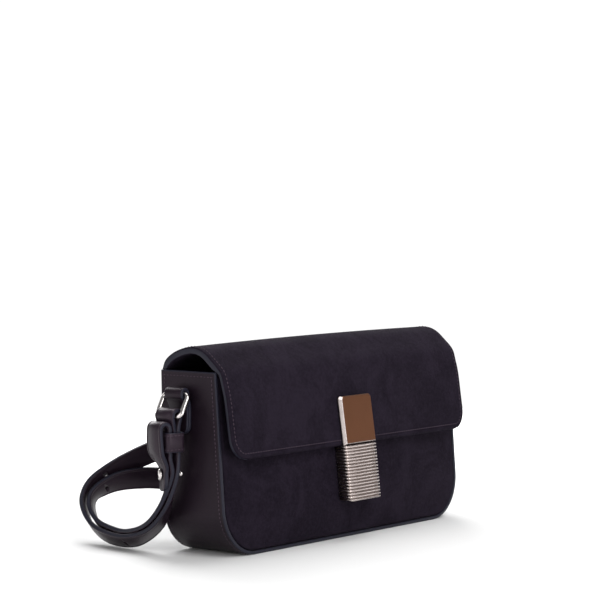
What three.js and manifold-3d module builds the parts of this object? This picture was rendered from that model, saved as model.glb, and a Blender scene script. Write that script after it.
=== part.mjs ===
// A small box-shaped baguette bag: suede front, back and flap on a smooth leather gusset,
// a two-part turn-over clasp, and a long leather strap worn doubled through a ring at each end.
// Millimetres, +Z up. The bag stands on its base, its front facing -Y, with the origin under its centre.
import * as THREE from "three";
import { mergeVertices } from "three/addons/utils/BufferGeometryUtils.js";
import Module from "manifold-3d";

const wasm = await Module();
wasm.setup();

// Driving dimensions

// Clearance left between two pieces that lie on each other
const SEAT = 0.3;

// The box of the bag. The front leans back more than the back does.
const BODY = { width: 250, height: 112.5, corner: 29.5, depthBase: 48.6, depthTop: 42.8, lean: 5.4 };
const GUSSET_WALL = 2.2;
const PANEL = 2.4;
// The turned-in edge of a panel, glued inside the gusset
const TURN_IN = { depth: 10, wall: 1.6 };
// Stuffing pushes the middle of the front panel out, most at a share of the height
const PUFF = { out: 5.5, at: 0.28 };

// The flap runs on from the back panel, over an arch and down the front
const FLAP = { wall: 3, inset: 1, rise: 14.8, drop: 52.5, corner: 13.5, crown: 1 };

// Clasp: a bevelled plate on the flap over a ribbed block on the front panel
const CLASP = { width: 33, plateHeight: 31, plateWall: 3, bevel: 2, corner: 2.6 };
const FACING = { wall: 0.9, proud: 0.1, rim: 0.3, corner: 1.2 };
const BLOCK = { height: 35, widen: -0.4, gap: 0.5, lean: 0.118 };
const RIB = { count: 18, groove: 0.6 };

// Strap hardware
const STRAP = { width: 14, wall: 2.8, step: 6 };
const RING = { wire: 3.2, inside: 15.4, span: 15, tilt: 30, corner: 3.4 };
const TAB = { width: 14, wall: 2.1, height: 24.5, corner: 5, centre: 9, below: 13.6, standOff: 1.6 };
const KEEPER = { height: 12, wall: 1.5, below: 9.4, turn: 15, inward: 3.5, neck: 3, slack: 0.5, corner: 1.6 };
const STUD = {
  head: 7,
  headWall: 1.6,
  bevel: 0.4,
  post: 2.4,
  hole: 3.2,
  base: 5.2,
  baseWall: 1.2,
  neck: 0.6,
  knob: 3.2,
  knobLength: 2.2,
  row: 0,
};
const HOLE = 2.4;
// Extra room inside a fold of the strap, beyond the clearance round the ring
const FOLD_EASE = 0.4;
// The free end of the strap, folded out over the keeper and buttoned on the stud
const TAIL = { radius: 3.4, above: 2, droop: 0.91, layer: 2.15, end: 10 };

// Shape tables

// The arch of the flap: across is measured forward from the back corner, as a share of the bag's depth
// at the top, up is a share of the arch's rise
const ARCH_ROWS = [
  { across: 0.0, up: 0.0 },
  { across: 0.05, up: 0.36 },
  { across: 0.16, up: 0.64 },
  { across: 0.35, up: 0.89 },
  { across: 0.57, up: 1.0 },
  { across: 0.76, up: 0.86 },
  { across: 0.95, up: 0.44 },
  { across: 1.1, up: 0.0 },
];

// The front of the flap below the arch: down is a share of its drop, out is measured forward from the
// back corner like the column above
const FRONT_ROWS = [
  { down: 0.14, out: 1.158 },
  { down: 0.28, out: 1.203 },
  { down: 0.6, out: 1.263 },
  { down: 1.0, out: 1.338 },
];

// The strap's loop on the left, for the outer run, from the keeper down and round to the back of the bag.
// out and back are measured from the ring's lower bar, away from the bag and to the rear, as shares of
// the depth at the base. up is a share of the bar's height. turn and tilt, in degrees, aim the strap's
// width. inset and drop set the inner run in, in layers, and down, in strap widths.
const LOOP_ROWS = [
  { out: -0.09, back: -0.01, up: 0.588, turn: 34, tilt: 0, inset: 1.05, drop: 0 },
  { out: -0.08, back: 0.07, up: 0.385, turn: 60, tilt: -8, inset: 1.15, drop: 0 },
  { out: -0.09, back: 0.29, up: 0.198, turn: 90, tilt: -2, inset: 1.15, drop: 0 },
  { out: -0.11, back: 0.7, up: 0.082, turn: 100, tilt: 28, inset: 1.15, drop: 0 },
  { out: -0.18, back: 1.15, up: 0.073, turn: 95, tilt: 42, inset: 1.3, drop: 0 },
  { out: -0.25, back: 1.455, up: 0.113, turn: 84, tilt: 42, inset: 1.3, drop: 0 },
  { out: -0.31, back: 1.67, up: 0.2, turn: 70, tilt: 38, inset: 1.35, drop: 0.03 },
  { out: -0.36, back: 1.755, up: 0.315, turn: 62, tilt: 18, inset: 1.5, drop: 0.06 },
  { out: -0.45, back: 1.68, up: 0.42, turn: 75, tilt: 29, inset: 1.7, drop: 0.15 },
  { out: -0.61, back: 1.49, up: 0.515, turn: 83, tilt: 50, inset: 1.55, drop: 0.4 },
  { out: -0.85, back: 1.28, up: 0.605, turn: 90, tilt: 64, inset: 1.1, drop: 0.93 },
  { out: -1.19, back: 1.02, up: 0.693, turn: 95, tilt: 73, inset: 0.5, drop: 1.55 },
  { out: -1.69, back: 0.76, up: 0.745, turn: 97, tilt: 82, inset: 0, drop: 1.65 },
  { out: -2.33, back: 0.545, up: 0.759, turn: 94, tilt: 87, inset: 0, drop: 1.57 },
];

// Where the strap rests against the back at the middle of the bag, as shares of the bag's height
const MIDDLE = { outer: 0.58, inner: 0.385, off: 0.3 };
// Layers between the two runs where nothing else lies between them
const LOOSE = 1.1;

// Holes along the strap, as shares of its length from the stitched end
const HOLE_SHARES = [0.104, 0.164, 0.8395];

const COLOURS = {
  suede: { color: 0x2b2430, roughness: 0.95, metalness: 0 },
  leather: { color: 0x2a2429, roughness: 0.5, metalness: 0 },
  silver: { color: 0xd8d6d4, roughness: 0.15, metalness: 1 },
  bronze: { color: 0x6b4830, roughness: 0.3, metalness: 0.9 },
};

// Geometry helpers

const vec = (x, y, z) => new THREE.Vector3(x, y, z);
const mix = THREE.MathUtils.lerp;
const rad = THREE.MathUtils.degToRad;

// Turns a closed geometry's faces outwards
function facingOut(geometry) {
  const index = geometry.getIndex().array;
  const position = geometry.getAttribute("position");
  const [a, b, c] = [vec(), vec(), vec()];
  let volume = 0;
  for (let i = 0; i < index.length; i += 3) {
    a.fromBufferAttribute(position, index[i]);
    b.fromBufferAttribute(position, index[i + 1]);
    c.fromBufferAttribute(position, index[i + 2]);
    volume += a.dot(b.cross(c));
  }
  if (volume < 0) {
    for (let i = 0; i < index.length; i += 3) {
      [index[i], index[i + 1]] = [index[i + 1], index[i]];
    }
  }
  return geometry;
}

function geometryOf(points, triangles) {
  const geometry = new THREE.BufferGeometry();
  const numbers = points.flatMap((point) => point.toArray());
  geometry.setAttribute("position", new THREE.Float32BufferAttribute(numbers, 3));
  geometry.setIndex(triangles);
  return facingOut(geometry);
}

// A closed body through a row of like sections, each a convex ring of points
function loft(sections, closed = false) {
  const ring = sections[0].length;
  const points = sections.flat();
  const triangles = [];
  const spans = closed ? sections.length : sections.length - 1;
  for (let i = 0; i < spans; i++) {
    const near = i * ring;
    const far = ((i + 1) % sections.length) * ring;
    for (let j = 0; j < ring; j++) {
      const next = (j + 1) % ring;
      triangles.push(near + j, far + j, far + next, near + j, far + next, near + next);
    }
  }
  if (!closed) {
    const last = (sections.length - 1) * ring;
    for (let j = 1; j < ring - 1; j++) {
      triangles.push(0, j, j + 1, last, last + j + 1, last + j);
    }
  }
  return geometryOf(points, triangles);
}

// A closed sheet between two grids of points of one size, rows first
function sheet(outer, inner) {
  const rows = outer.length;
  const columns = outer[0].length;
  const points = [...outer.flat(), ...inner.flat()];
  const back = rows * columns;
  const triangles = [];
  const quad = (a, b, c, d) => triangles.push(a, b, c, a, c, d);
  for (let i = 0; i < rows - 1; i++) {
    for (let j = 0; j < columns - 1; j++) {
      const a = i * columns + j;
      const d = a + columns;
      quad(a, a + 1, d + 1, d);
      quad(back + a, back + d, back + d + 1, back + a + 1);
    }
  }
  const edge = (a, b) => quad(a, back + a, back + b, b);
  for (let j = 0; j < columns - 1; j++) {
    edge(j, j + 1);
    edge((rows - 1) * columns + j + 1, (rows - 1) * columns + j);
  }
  for (let i = 0; i < rows - 1; i++) {
    edge((i + 1) * columns, i * columns);
    edge(i * columns + columns - 1, (i + 2) * columns - 1);
  }
  return geometryOf(points, triangles);
}

function solid(geometry) {
  const plain = new THREE.BufferGeometry();
  plain.setAttribute("position", geometry.getAttribute("position"));
  plain.setIndex(geometry.getIndex());
  const merged = mergeVertices(plain, 1e-3);
  return new wasm.Manifold(
    new wasm.Mesh({
      numProp: 3,
      vertProperties: merged.attributes.position.array,
      triVerts: new Uint32Array(merged.index.array),
    }),
  );
}

function geometryFrom(body) {
  const mesh = body.getMesh();
  const geometry = new THREE.BufferGeometry();
  geometry.setAttribute("position", new THREE.BufferAttribute(new Float32Array(mesh.vertProperties), 3));
  geometry.setIndex(new THREE.BufferAttribute(new Uint32Array(mesh.triVerts), 1));
  return geometry;
}

// A ring of points round a rectangle with rounded corners, in the XY plane, anticlockwise
function roundedRectangle(width, height, radius, steps = 4) {
  const points = [];
  const corners = [
    [1, 1],
    [-1, 1],
    [-1, -1],
    [1, -1],
  ];
  corners.forEach(([sx, sy], quarter) => {
    for (let k = 0; k <= steps; k++) {
      const angle = ((quarter + k / steps) * Math.PI) / 2;
      const x = sx * (width / 2 - radius) + radius * Math.cos(angle);
      const y = sy * (height / 2 - radius) + radius * Math.sin(angle);
      points.push([x, y]);
    }
  });
  return points;
}

// The box of the bag

const depthAt = (z) => mix(BODY.depthBase, BODY.depthTop, z / BODY.height);
const leanAt = (z) => (BODY.lean * z) / BODY.height;
const frontAt = (z) => leanAt(z) - depthAt(z) / 2;
const backAt = (z) => leanAt(z) + depthAt(z) / 2;

// The U of the gusset seen from the front, inset from the outside, from the top left round to the top right
function gussetPath(inset, cornerSteps = 8, wallSteps = 5) {
  const half = BODY.width / 2 - inset;
  const radius = BODY.corner - inset;
  const points = [];
  for (let k = 0; k < wallSteps; k++) {
    points.push([-half, mix(BODY.height, BODY.corner, k / wallSteps)]);
  }
  for (let k = 0; k <= cornerSteps; k++) {
    const angle = Math.PI + (k / cornerSteps) * (Math.PI / 2);
    points.push([-half + radius + radius * Math.cos(angle), BODY.corner + radius * Math.sin(angle)]);
  }
  const right = points.map(([x, z]) => [-x, z]).reverse();
  return [...points, ...right];
}

// A band that follows the gusset's U, from one inset to another, between two depths given at each height
function band(outside, inside, nearAt, farAt) {
  const outer = gussetPath(outside);
  const inner = gussetPath(inside);
  const sections = outer.map(([x, z], i) => {
    const [ix, iz] = inner[i];
    return [
      vec(x, nearAt(z), z),
      vec(x, farAt(z), z),
      vec(ix, farAt(iz), iz),
      vec(ix, nearAt(iz), iz),
    ];
  });
  return loft(sections);
}

function gussetGeometry() {
  return band(0, GUSSET_WALL, frontAt, backAt);
}

// Heights of the rows across a panel, close together round its lower corners
function panelHeights(bottom, top, radius, cornerRows = 6, wallRows = 8) {
  const heights = [];
  for (let k = 0; k < cornerRows; k++) {
    heights.push(bottom + radius * (1 - Math.cos(((k / cornerRows) * Math.PI) / 2)));
  }
  for (let k = 0; k <= wallRows; k++) {
    heights.push(mix(bottom + radius, top, k / wallRows));
  }
  return heights;
}

const panelInset = GUSSET_WALL + SEAT;
const panelHalf = BODY.width / 2 - panelInset;
const panelCorner = BODY.corner - panelInset;
const COLUMNS = 14;

// Half the width of a shape with rounded corners, at a distance from the end where they are
function cornerHalf(half, radius, distance) {
  if (distance >= radius) return half;
  const rise = radius - distance;
  return half - radius + Math.sqrt(Math.max(radius * radius - rise * rise, 0));
}

const columnShares = Array.from({ length: COLUMNS + 1 }, (_, j) => (2 * j) / COLUMNS - 1);

function puffAt(x, z) {
  const side = 1 - (x / panelHalf) ** 2;
  const low = z / BODY.height / PUFF.at;
  const level = low < 1 ? 1 - (1 - low) ** 2 : 1 - ((low - 1) / (1 / PUFF.at - 1)) ** 1.5;
  return PUFF.out * Math.max(side, 0) * Math.max(level, 0);
}

// Outside of the front panel at a place on it
const frontFaceAt = (x, z) => frontAt(z) - puffAt(x, z);

function frontPanelGeometry() {
  const heights = panelHeights(panelInset, BODY.height, panelCorner);
  const rowsAt = (offset) =>
    heights.map((z) =>
      columnShares.map((share) => {
        const x = share * cornerHalf(panelHalf, panelCorner, z - panelInset);
        return vec(x, frontFaceAt(x, z) + offset, z);
      }),
    );
  const plate = solid(sheet(rowsAt(0), rowsAt(PANEL)));
  const turnedIn = solid(
    band(
      panelInset,
      panelInset + TURN_IN.wall,
      (z) => frontAt(z) + PANEL / 2,
      (z) => frontAt(z) + TURN_IN.depth,
    ),
  );
  return geometryFrom(plate.add(turnedIn));
}

// The flap's outside in the YZ plane, from the back corner over the arch to the lower edge
function flapProfile() {
  const top = BODY.height;
  const back = backAt(top);
  const depth = BODY.depthTop;
  const arch = ARCH_ROWS.map((row) => vec(0, back - row.across * depth, top + row.up * FLAP.rise));
  const front = FRONT_ROWS.map((row) => vec(0, back - row.out * depth, top - row.down * FLAP.drop));
  const curve = new THREE.CatmullRomCurve3([...arch, ...front], false, "centripetal");
  const steps = 36;
  return Array.from({ length: steps + 1 }, (_, i) => curve.getPointAt(i / steps));
}

// A row of the back-and-flap sheet: its outer point, its inward direction and its half width
function backAndFlapRows() {
  const rows = panelHeights(panelInset, BODY.height, panelCorner).map((z) => ({
    outer: vec(0, backAt(z), z),
    inward: vec(0, -1, 0),
    half: cornerHalf(panelHalf, panelCorner, z - panelInset),
    crown: 0,
    wall: PANEL,
  }));
  const profile = flapProfile();
  const total = profile.reduce((sum, p, i) => (i ? sum + p.distanceTo(profile[i - 1]) : 0), 0);
  let run = 0;
  profile.forEach((point, i) => {
    const before = profile[Math.max(i - 1, 0)];
    const after = profile[Math.min(i + 1, profile.length - 1)];
    if (i) run += point.distanceTo(before);
    const along = after.clone().sub(before).normalize();
    const lift = Math.max(point.z - BODY.height, 0) / FLAP.rise;
    rows.push({
      outer: i ? point : point.clone().setZ(point.z + SEAT),
      inward: i ? vec(0, -along.z, along.y) : vec(0, -1, 0),
      half: cornerHalf(BODY.width / 2 - FLAP.inset, FLAP.corner, total - run),
      crown: FLAP.crown * lift,
      wall: i ? FLAP.wall : PANEL,
    });
  });
  return rows;
}

function backAndFlapGeometry() {
  const rows = backAndFlapRows();
  const gridAt = (depth) =>
    rows.map((row) =>
      columnShares.map((share) => {
        const crown = row.crown * (1 - share * share);
        const point = row.outer.clone().addScaledVector(row.inward, depth * row.wall);
        return vec(share * row.half, point.y, point.z + crown);
      }),
    );
  const skin = solid(sheet(gridAt(1), gridAt(0)));
  const turnedIn = solid(
    band(
      panelInset,
      panelInset + TURN_IN.wall,
      (z) => backAt(z) - TURN_IN.depth,
      (z) => backAt(z) - PANEL / 2,
    ),
  );
  return geometryFrom(skin.add(turnedIn));
}

// Clasp

const facingWidth = CLASP.width - 2 * (CLASP.bevel + FACING.rim + SEAT);
const facingHeight = CLASP.plateHeight - 2 * (CLASP.bevel + FACING.rim + SEAT);

// The plate lies on the straight part of the flap, between its last two profile rows
const flapBottom = BODY.height - FLAP.drop;
const flapRowAt = (row) =>
  vec(0, backAt(BODY.height) - row.out * BODY.depthTop, BODY.height - row.down * FLAP.drop);
const lowRow = flapRowAt(FRONT_ROWS[FRONT_ROWS.length - 1]);
const highRow = flapRowAt(FRONT_ROWS[FRONT_ROWS.length - 2]);
const claspSlope = Math.atan2(highRow.y - lowRow.y, highRow.z - lowRow.z);

// Bevelled plate, its back at z 0 and its face at z = wall
function bevelledPlate(width, height, wall, bevel, corner) {
  const level = (z, inset) =>
    roundedRectangle(width - 2 * inset, height - 2 * inset, Math.max(corner - inset, 0.4)).map(([x, y]) =>
      vec(x, y, z),
    );
  return loft([level(0, 0), level(wall - bevel, 0), level(wall, bevel)]);
}

function claspPlateGeometry() {
  const plate = bevelledPlate(CLASP.width, CLASP.plateHeight, CLASP.plateWall, CLASP.bevel, CLASP.corner);
  const recess = bevelledPlate(
    facingWidth + 2 * SEAT,
    facingHeight + 2 * SEAT,
    2 * FACING.wall,
    0,
    FACING.corner,
  );
  recess.translate(0, 0, CLASP.plateWall - FACING.wall);
  return geometryFrom(solid(plate).subtract(solid(recess)));
}

function facingGeometry() {
  const wall = FACING.wall - SEAT + FACING.proud;
  const facing = bevelledPlate(facingWidth, facingHeight, wall, 0, FACING.corner);
  facing.translate(0, 0, CLASP.plateWall - FACING.wall + SEAT);
  return facing;
}

// The block's face goes on from the lower edge of the plate's face
const blockTop = flapBottom - BLOCK.gap;
const plateFoot = lowRow.y - (SEAT + CLASP.plateWall) / Math.cos(claspSlope);
const blockFaceAt = (z) => plateFoot - (flapBottom - z) * BLOCK.lean;

function claspBlockGeometry() {
  const pitch = BLOCK.height / RIB.count;
  const levels = [{ down: 0, groove: RIB.groove }];
  for (let i = 0; i < RIB.count; i++) {
    levels.push({ down: (i + 0.25) * pitch, groove: 0 });
    levels.push({ down: (i + 0.75) * pitch, groove: 0 });
    levels.push({ down: (i + 1) * pitch, groove: RIB.groove });
  }
  const sections = levels.map(({ down, groove }) => {
    const z = blockTop - down;
    const end = BLOCK.height - down + RIB.groove;
    const half = cornerHalf((CLASP.width + BLOCK.widen) / 2, CLASP.corner, end) - groove;
    const face = blockFaceAt(z) + groove;
    const back = frontFaceAt(0, z) - SEAT;
    const bevel = CLASP.bevel;
    return [
      vec(-half, back, z),
      vec(half, back, z),
      vec(half, face + bevel, z),
      vec(half - bevel, face, z),
      vec(bevel - half, face, z),
      vec(-half, face + bevel, z),
    ];
  });
  return loft(sections);
}

// Ring and tab at each end, drawn with +X away from the bag and the origin on the gusset

const barRadius = RING.wire / 2 + SEAT;
const rollRadius = barRadius + TAB.wall;
const barOut = SEAT + rollRadius + TAB.standOff;
const tabTop = BODY.height - TAB.below;

function tabGeometry() {
  const legs = SEAT + 2 * TAB.wall;
  const bottom = tabTop - TAB.height;
  const start = rad(-35);
  const end = rad(232);
  const shape = new THREE.Shape();
  shape.moveTo(SEAT, bottom);
  shape.lineTo(legs, bottom);
  shape.lineTo(legs, tabTop - 2.4 * rollRadius);
  shape.absarc(barOut, tabTop, rollRadius, start, end, false);
  shape.lineTo(SEAT, tabTop - 2 * rollRadius);
  shape.closePath();
  const eye = new THREE.Path();
  eye.absarc(barOut, tabTop, barRadius, 0, 2 * Math.PI, true);
  shape.holes.push(eye);
  const settings = { depth: TAB.width, bevelEnabled: false, curveSegments: 10 };
  const strip = new THREE.ExtrudeGeometry(shape, settings);
  strip.rotateX(Math.PI / 2);
  strip.translate(0, TAB.width / 2, 0);
  const height = TAB.height + 2 * rollRadius;
  const outline = roundedRectangle(TAB.width, height, TAB.corner);
  const prism = loft([
    outline.map(([y, z]) => vec(-1, y, z)),
    outline.map(([y, z]) => vec(barOut + 2 * rollRadius, y, z)),
  ]);
  prism.translate(0, 0, bottom + height / 2);
  return geometryFrom(solid(strip).intersect(solid(prism)));
}

// The ring hangs from its top bar, which is at the origin
function ringGeometry() {
  const width = RING.inside + RING.wire;
  const path = roundedRectangle(width, RING.span, RING.corner, 5);
  const sides = 8;
  const sections = path.map(([y, z], i) => {
    const [ay, az] = path[(i + path.length - 1) % path.length];
    const [by, bz] = path[(i + 1) % path.length];
    const outward = vec(0, bz - az, ay - by).normalize();
    const centre = vec(0, y, z - RING.span / 2);
    return Array.from({ length: sides }, (_, k) => {
      const angle = ((k + 0.5) / sides) * 2 * Math.PI;
      const point = centre.clone().addScaledVector(outward, (RING.wire / 2) * Math.cos(angle));
      return point.add(vec((RING.wire / 2) * Math.sin(angle), 0, 0));
    });
  });
  return loft(sections, true);
}

// Strap

const STEP = STRAP.wall + SEAT;
// The left ring's lower bar
const bar = vec(
  -BODY.width / 2 - barOut - RING.span * Math.sin(rad(RING.tilt)),
  TAB.centre,
  tabTop - RING.span * Math.cos(rad(RING.tilt)),
);
const foldRadius = barRadius + STRAP.wall / 2 + FOLD_EASE;

const aim = (turn, tilt) =>
  vec(
    -Math.sin(rad(turn)) * Math.cos(rad(tilt)),
    -Math.cos(rad(turn)) * Math.cos(rad(tilt)),
    Math.sin(rad(tilt)),
  );

const keeperTop = bar.z - KEEPER.below;
const keeperFoot = keeperTop - KEEPER.height;

// Stacked layers at the keeper: the outer run lies next to the bag, further layers away from it
const stackAcross = aim(KEEPER.turn, 0);
const stackOut = vec(-Math.cos(rad(KEEPER.turn)), Math.sin(rad(KEEPER.turn)), 0);
const stackAt = (layer, z) =>
  vec(bar.x + KEEPER.inward, bar.y, z).addScaledVector(stackOut, layer * STEP);

// Stations of the outer run from the left ring to the middle of the back
const rowStations = LOOP_ROWS.map((row) => ({
  at: vec(bar.x - row.out * BODY.depthBase, bar.y + row.back * BODY.depthBase, row.up * bar.z),
  across: aim(row.turn, row.tilt),
  row,
}));

// Direction away from the bag through the layers at a station
function stackDirection(station) {
  return vec(0, 0, -1).cross(station.across).normalize();
}

const studStation = rowStations[STUD.row];
const studOut = stackDirection(studStation);
const studAt = (layer) => studStation.at.clone().addScaledVector(studOut, layer * STEP);

// The inner run follows the outer one, set in by its row's inset and dropped by its row's drop
const innerStations = rowStations.map(({ at, across, row }, i) => {
  const before = rowStations[Math.max(i - 1, 0)].at;
  const after = rowStations[Math.min(i + 1, rowStations.length - 1)].at;
  const along = after.clone().sub(before).normalize();
  const flat = across.clone().addScaledVector(along, -across.dot(along)).normalize();
  const inward = along.clone().cross(flat);
  const place = at
    .clone()
    .addScaledVector(inward, row.inset * STEP)
    .addScaledVector(flat, -row.drop * STRAP.width);
  return { at: place, across };
});

const middleStation = (share) => {
  const z = share * BODY.height;
  return { at: vec(0, backAt(z) + SEAT + STRAP.wall / 2 + MIDDLE.off, z), across: vec(0, 0, 1) };
};

const mirrored = (stations) =>
  stations.map(({ at, across }) => ({
    at: vec(-at.x, at.y, at.z),
    across: vec(-across.x, across.y, across.z),
  }));

// Half a turn over a bar, from its outer side to the side of the bag
function foldOver(centre, radius, across, out, steps = 6) {
  return Array.from({ length: steps + 1 }, (_, k) => {
    const angle = (k / steps) * Math.PI;
    const at = centre
      .clone()
      .addScaledVector(out, radius * Math.cos(angle))
      .add(vec(0, 0, radius * Math.sin(angle)));
    return { at, across };
  });
}

const outwards = vec(-1, 0, 0);
const acrossBar = aim(0, 0);
const stackStation = (layer, z) => ({ at: stackAt(layer, z), across: stackAcross });
const neckHeight = keeperTop + KEEPER.neck;
const footHeight = keeperFoot - KEEPER.neck;

function strapStations() {
  const leftFold = foldOver(bar, foldRadius, acrossBar, outwards);
  const shortEnd = [stackStation(1, keeperFoot + 1), stackStation(1, keeperTop)];
  const outerLeft = [stackStation(0, neckHeight), stackStation(0, footHeight), ...rowStations];
  const innerHeights = [keeperTop, keeperFoot, footHeight];
  const innerLeft = [...innerHeights.map((z) => stackStation(2, z)), ...innerStations].reverse();
  const innerRight = [...innerHeights.map((z) => stackStation(LOOSE, z)), ...innerStations];
  const tailFold = foldOver(
    stackAt(2, keeperTop + TAIL.above).addScaledVector(stackOut, TAIL.radius),
    TAIL.radius,
    stackAcross,
    stackOut,
  ).reverse();
  const tailOut = 2 + (2 * TAIL.radius) / STEP;
  const onStud = (up) => ({ at: studAt(TAIL.layer).add(vec(0, 0, up)), across: studStation.across });
  const tailEnd = [
    stackStation(tailOut * TAIL.droop, keeperFoot - 0.5),
    onStud(STUD.head / 2),
    onStud(-TAIL.end),
  ];
  return [
    ...shortEnd,
    ...leftFold,
    ...outerLeft,
    middleStation(MIDDLE.outer),
    ...mirrored(outerLeft).reverse(),
    ...mirrored(leftFold).reverse(),
    ...mirrored(innerRight),
    middleStation(MIDDLE.inner),
    ...innerLeft,
    ...tailFold,
    ...tailEnd,
  ];
}

const stations = strapStations();
const route = new THREE.CatmullRomCurve3(stations.map((s) => s.at), false, "centripetal");
const aims = new THREE.CatmullRomCurve3(stations.map((s) => s.across), false, "centripetal");

// Sections along the strap, a few for each stretch between stations
function strapFrames() {
  const frames = [];
  const spans = stations.length - 1;
  for (let i = 0; i < spans; i++) {
    const length = stations[i].at.distanceTo(stations[i + 1].at);
    const steps = Math.max(1, Math.ceil(length / STRAP.step));
    for (let k = 0; k < steps; k++) frames.push((i + k / steps) / spans);
  }
  frames.push(1);
  return frames.map((t) => {
    const at = route.getPoint(t);
    const along = route.getTangent(t);
    const across = aims.getPoint(t);
    across.addScaledVector(along, -across.dot(along)).normalize();
    return { at, along, across, through: along.clone().cross(across) };
  });
}

const frames = strapFrames();

// A cylinder along a direction, centred on a point
function rod(radius, length, at, direction, sides = 12) {
  const geometry = new THREE.CylinderGeometry(radius, radius, length, sides);
  const turn = new THREE.Quaternion().setFromUnitVectors(vec(0, 1, 0), direction);
  geometry.applyQuaternion(turn);
  geometry.translate(at.x, at.y, at.z);
  return geometry;
}

function strapGeometry() {
  const sections = frames.map(({ at, across, through }) => {
    const corner = (a, n) =>
      at
        .clone()
        .addScaledVector(across, (a * STRAP.width) / 2)
        .addScaledVector(through, (n * STRAP.wall) / 2);
    return [corner(1, 1), corner(-1, 1), corner(-1, -1), corner(1, -1)];
  });
  let body = solid(loft(sections));
  const stack = 4 * STEP;
  body = body.subtract(solid(rod(STUD.hole / 2, stack, studAt(1.1), studOut)));
  const runs = [0];
  for (let i = 1; i < frames.length; i++) {
    runs.push(runs[i - 1] + frames[i].at.distanceTo(frames[i - 1].at));
  }
  const length = runs[runs.length - 1];
  for (const share of HOLE_SHARES) {
    const { at, through } = frames[runs.findIndex((run) => run >= share * length)];
    body = body.subtract(solid(rod(HOLE / 2, 1.5 * STRAP.wall, at, through)));
  }
  return geometryFrom(body);
}

// A leather loop round the three layers of the stack
function keeperGeometry() {
  const insideWidth = STRAP.width + 2 * KEEPER.slack;
  const insideDepth = 3 * STEP + 2 * KEEPER.slack;
  const levels = (grow, low, high) =>
    loft(
      [low, high].map((z) =>
        roundedRectangle(insideDepth + grow, insideWidth + grow, KEEPER.corner + grow / 2).map(([x, y]) =>
          vec(x, y, z),
        ),
      ),
    );
  const outside = solid(levels(2 * KEEPER.wall, 0, KEEPER.height));
  return geometryFrom(outside.subtract(solid(levels(0, -1, KEEPER.height + 1))));
}

// Screw stud: a flat head on the tail, a post through the layers and a knob on the side of the bag
function studGeometry() {
  const headOut = TAIL.layer * STEP + STRAP.wall / 2 + SEAT;
  const headTop = headOut + STUD.headWall;
  const base = -STEP / 2;
  const baseFoot = base - STUD.baseWall;
  const knobTop = baseFoot - STUD.neck;
  const knobFoot = knobTop - STUD.knobLength;
  const knobBevel = STUD.knobLength / 4;
  const profile = [
    [0, headTop],
    [STUD.head / 2 - STUD.bevel, headTop],
    [STUD.head / 2, headTop - STUD.bevel],
    [STUD.head / 2, headOut],
    [STUD.post / 2, headOut],
    [STUD.post / 2, base],
    [STUD.base / 2, base],
    [STUD.base / 2, baseFoot],
    [STUD.post / 2, baseFoot],
    [STUD.post / 2, knobTop],
    [STUD.knob / 2, knobTop - knobBevel],
    [STUD.knob / 2, knobFoot + knobBevel],
    [STUD.knob / 2 - knobBevel, knobFoot],
    [0, knobFoot],
  ].map(([radius, y]) => new THREE.Vector2(radius, y));
  return facingOut(new THREE.LatheGeometry(profile, 16));
}

// The scene

const bag = new THREE.Group();

function add(parent, name, geometry, look) {
  const mesh = new THREE.Mesh(geometry, new THREE.MeshStandardMaterial(COLOURS[look]));
  mesh.name = name;
  parent.add(mesh);
  return mesh;
}

add(bag, "gusset", gussetGeometry(), "leather");
add(bag, "front_panel", frontPanelGeometry(), "suede");
add(bag, "back_and_flap", backAndFlapGeometry(), "suede");

// The plate's group lies on the outside of the flap, with +Y up its slope and +Z out of it
const clasp = new THREE.Group();
clasp.position.copy(lowRow);
clasp.rotation.x = Math.PI / 2 - claspSlope;
bag.add(clasp);
for (const [name, geometry, look] of [
  ["clasp_plate", claspPlateGeometry(), "silver"],
  ["clasp_facing", facingGeometry(), "bronze"],
]) {
  add(clasp, name, geometry, look).position.set(0, CLASP.plateHeight / 2, SEAT);
}
add(bag, "clasp_block", claspBlockGeometry(), "silver");

for (const [side, direction] of [
  ["left", -1],
  ["right", 1],
]) {
  const end = new THREE.Group();
  end.position.set((direction * BODY.width) / 2, TAB.centre, 0);
  end.rotation.z = direction < 0 ? Math.PI : 0;
  add(end, `tab_${side}`, tabGeometry(), "leather");
  const ring = add(end, `ring_${side}`, ringGeometry(), "silver");
  ring.position.set(barOut, 0, tabTop);
  ring.rotation.y = -rad(RING.tilt);
  bag.add(end);
}

add(bag, "strap", strapGeometry(), "leather");
const keeper = add(bag, "keeper", keeperGeometry(), "leather");
keeper.position.copy(stackAt(1, keeperFoot));
keeper.rotation.z = -rad(KEEPER.turn);
const stud = add(bag, "stud", studGeometry(), "silver");
stud.position.copy(studStation.at);
stud.quaternion.setFromUnitVectors(vec(0, 1, 0), studOut);

export default bag;
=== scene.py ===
import math

import bmesh
import bpy
from bpy.props import FloatProperty, FloatVectorProperty, IntProperty, PointerProperty
from mathutils import Matrix, Vector


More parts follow.
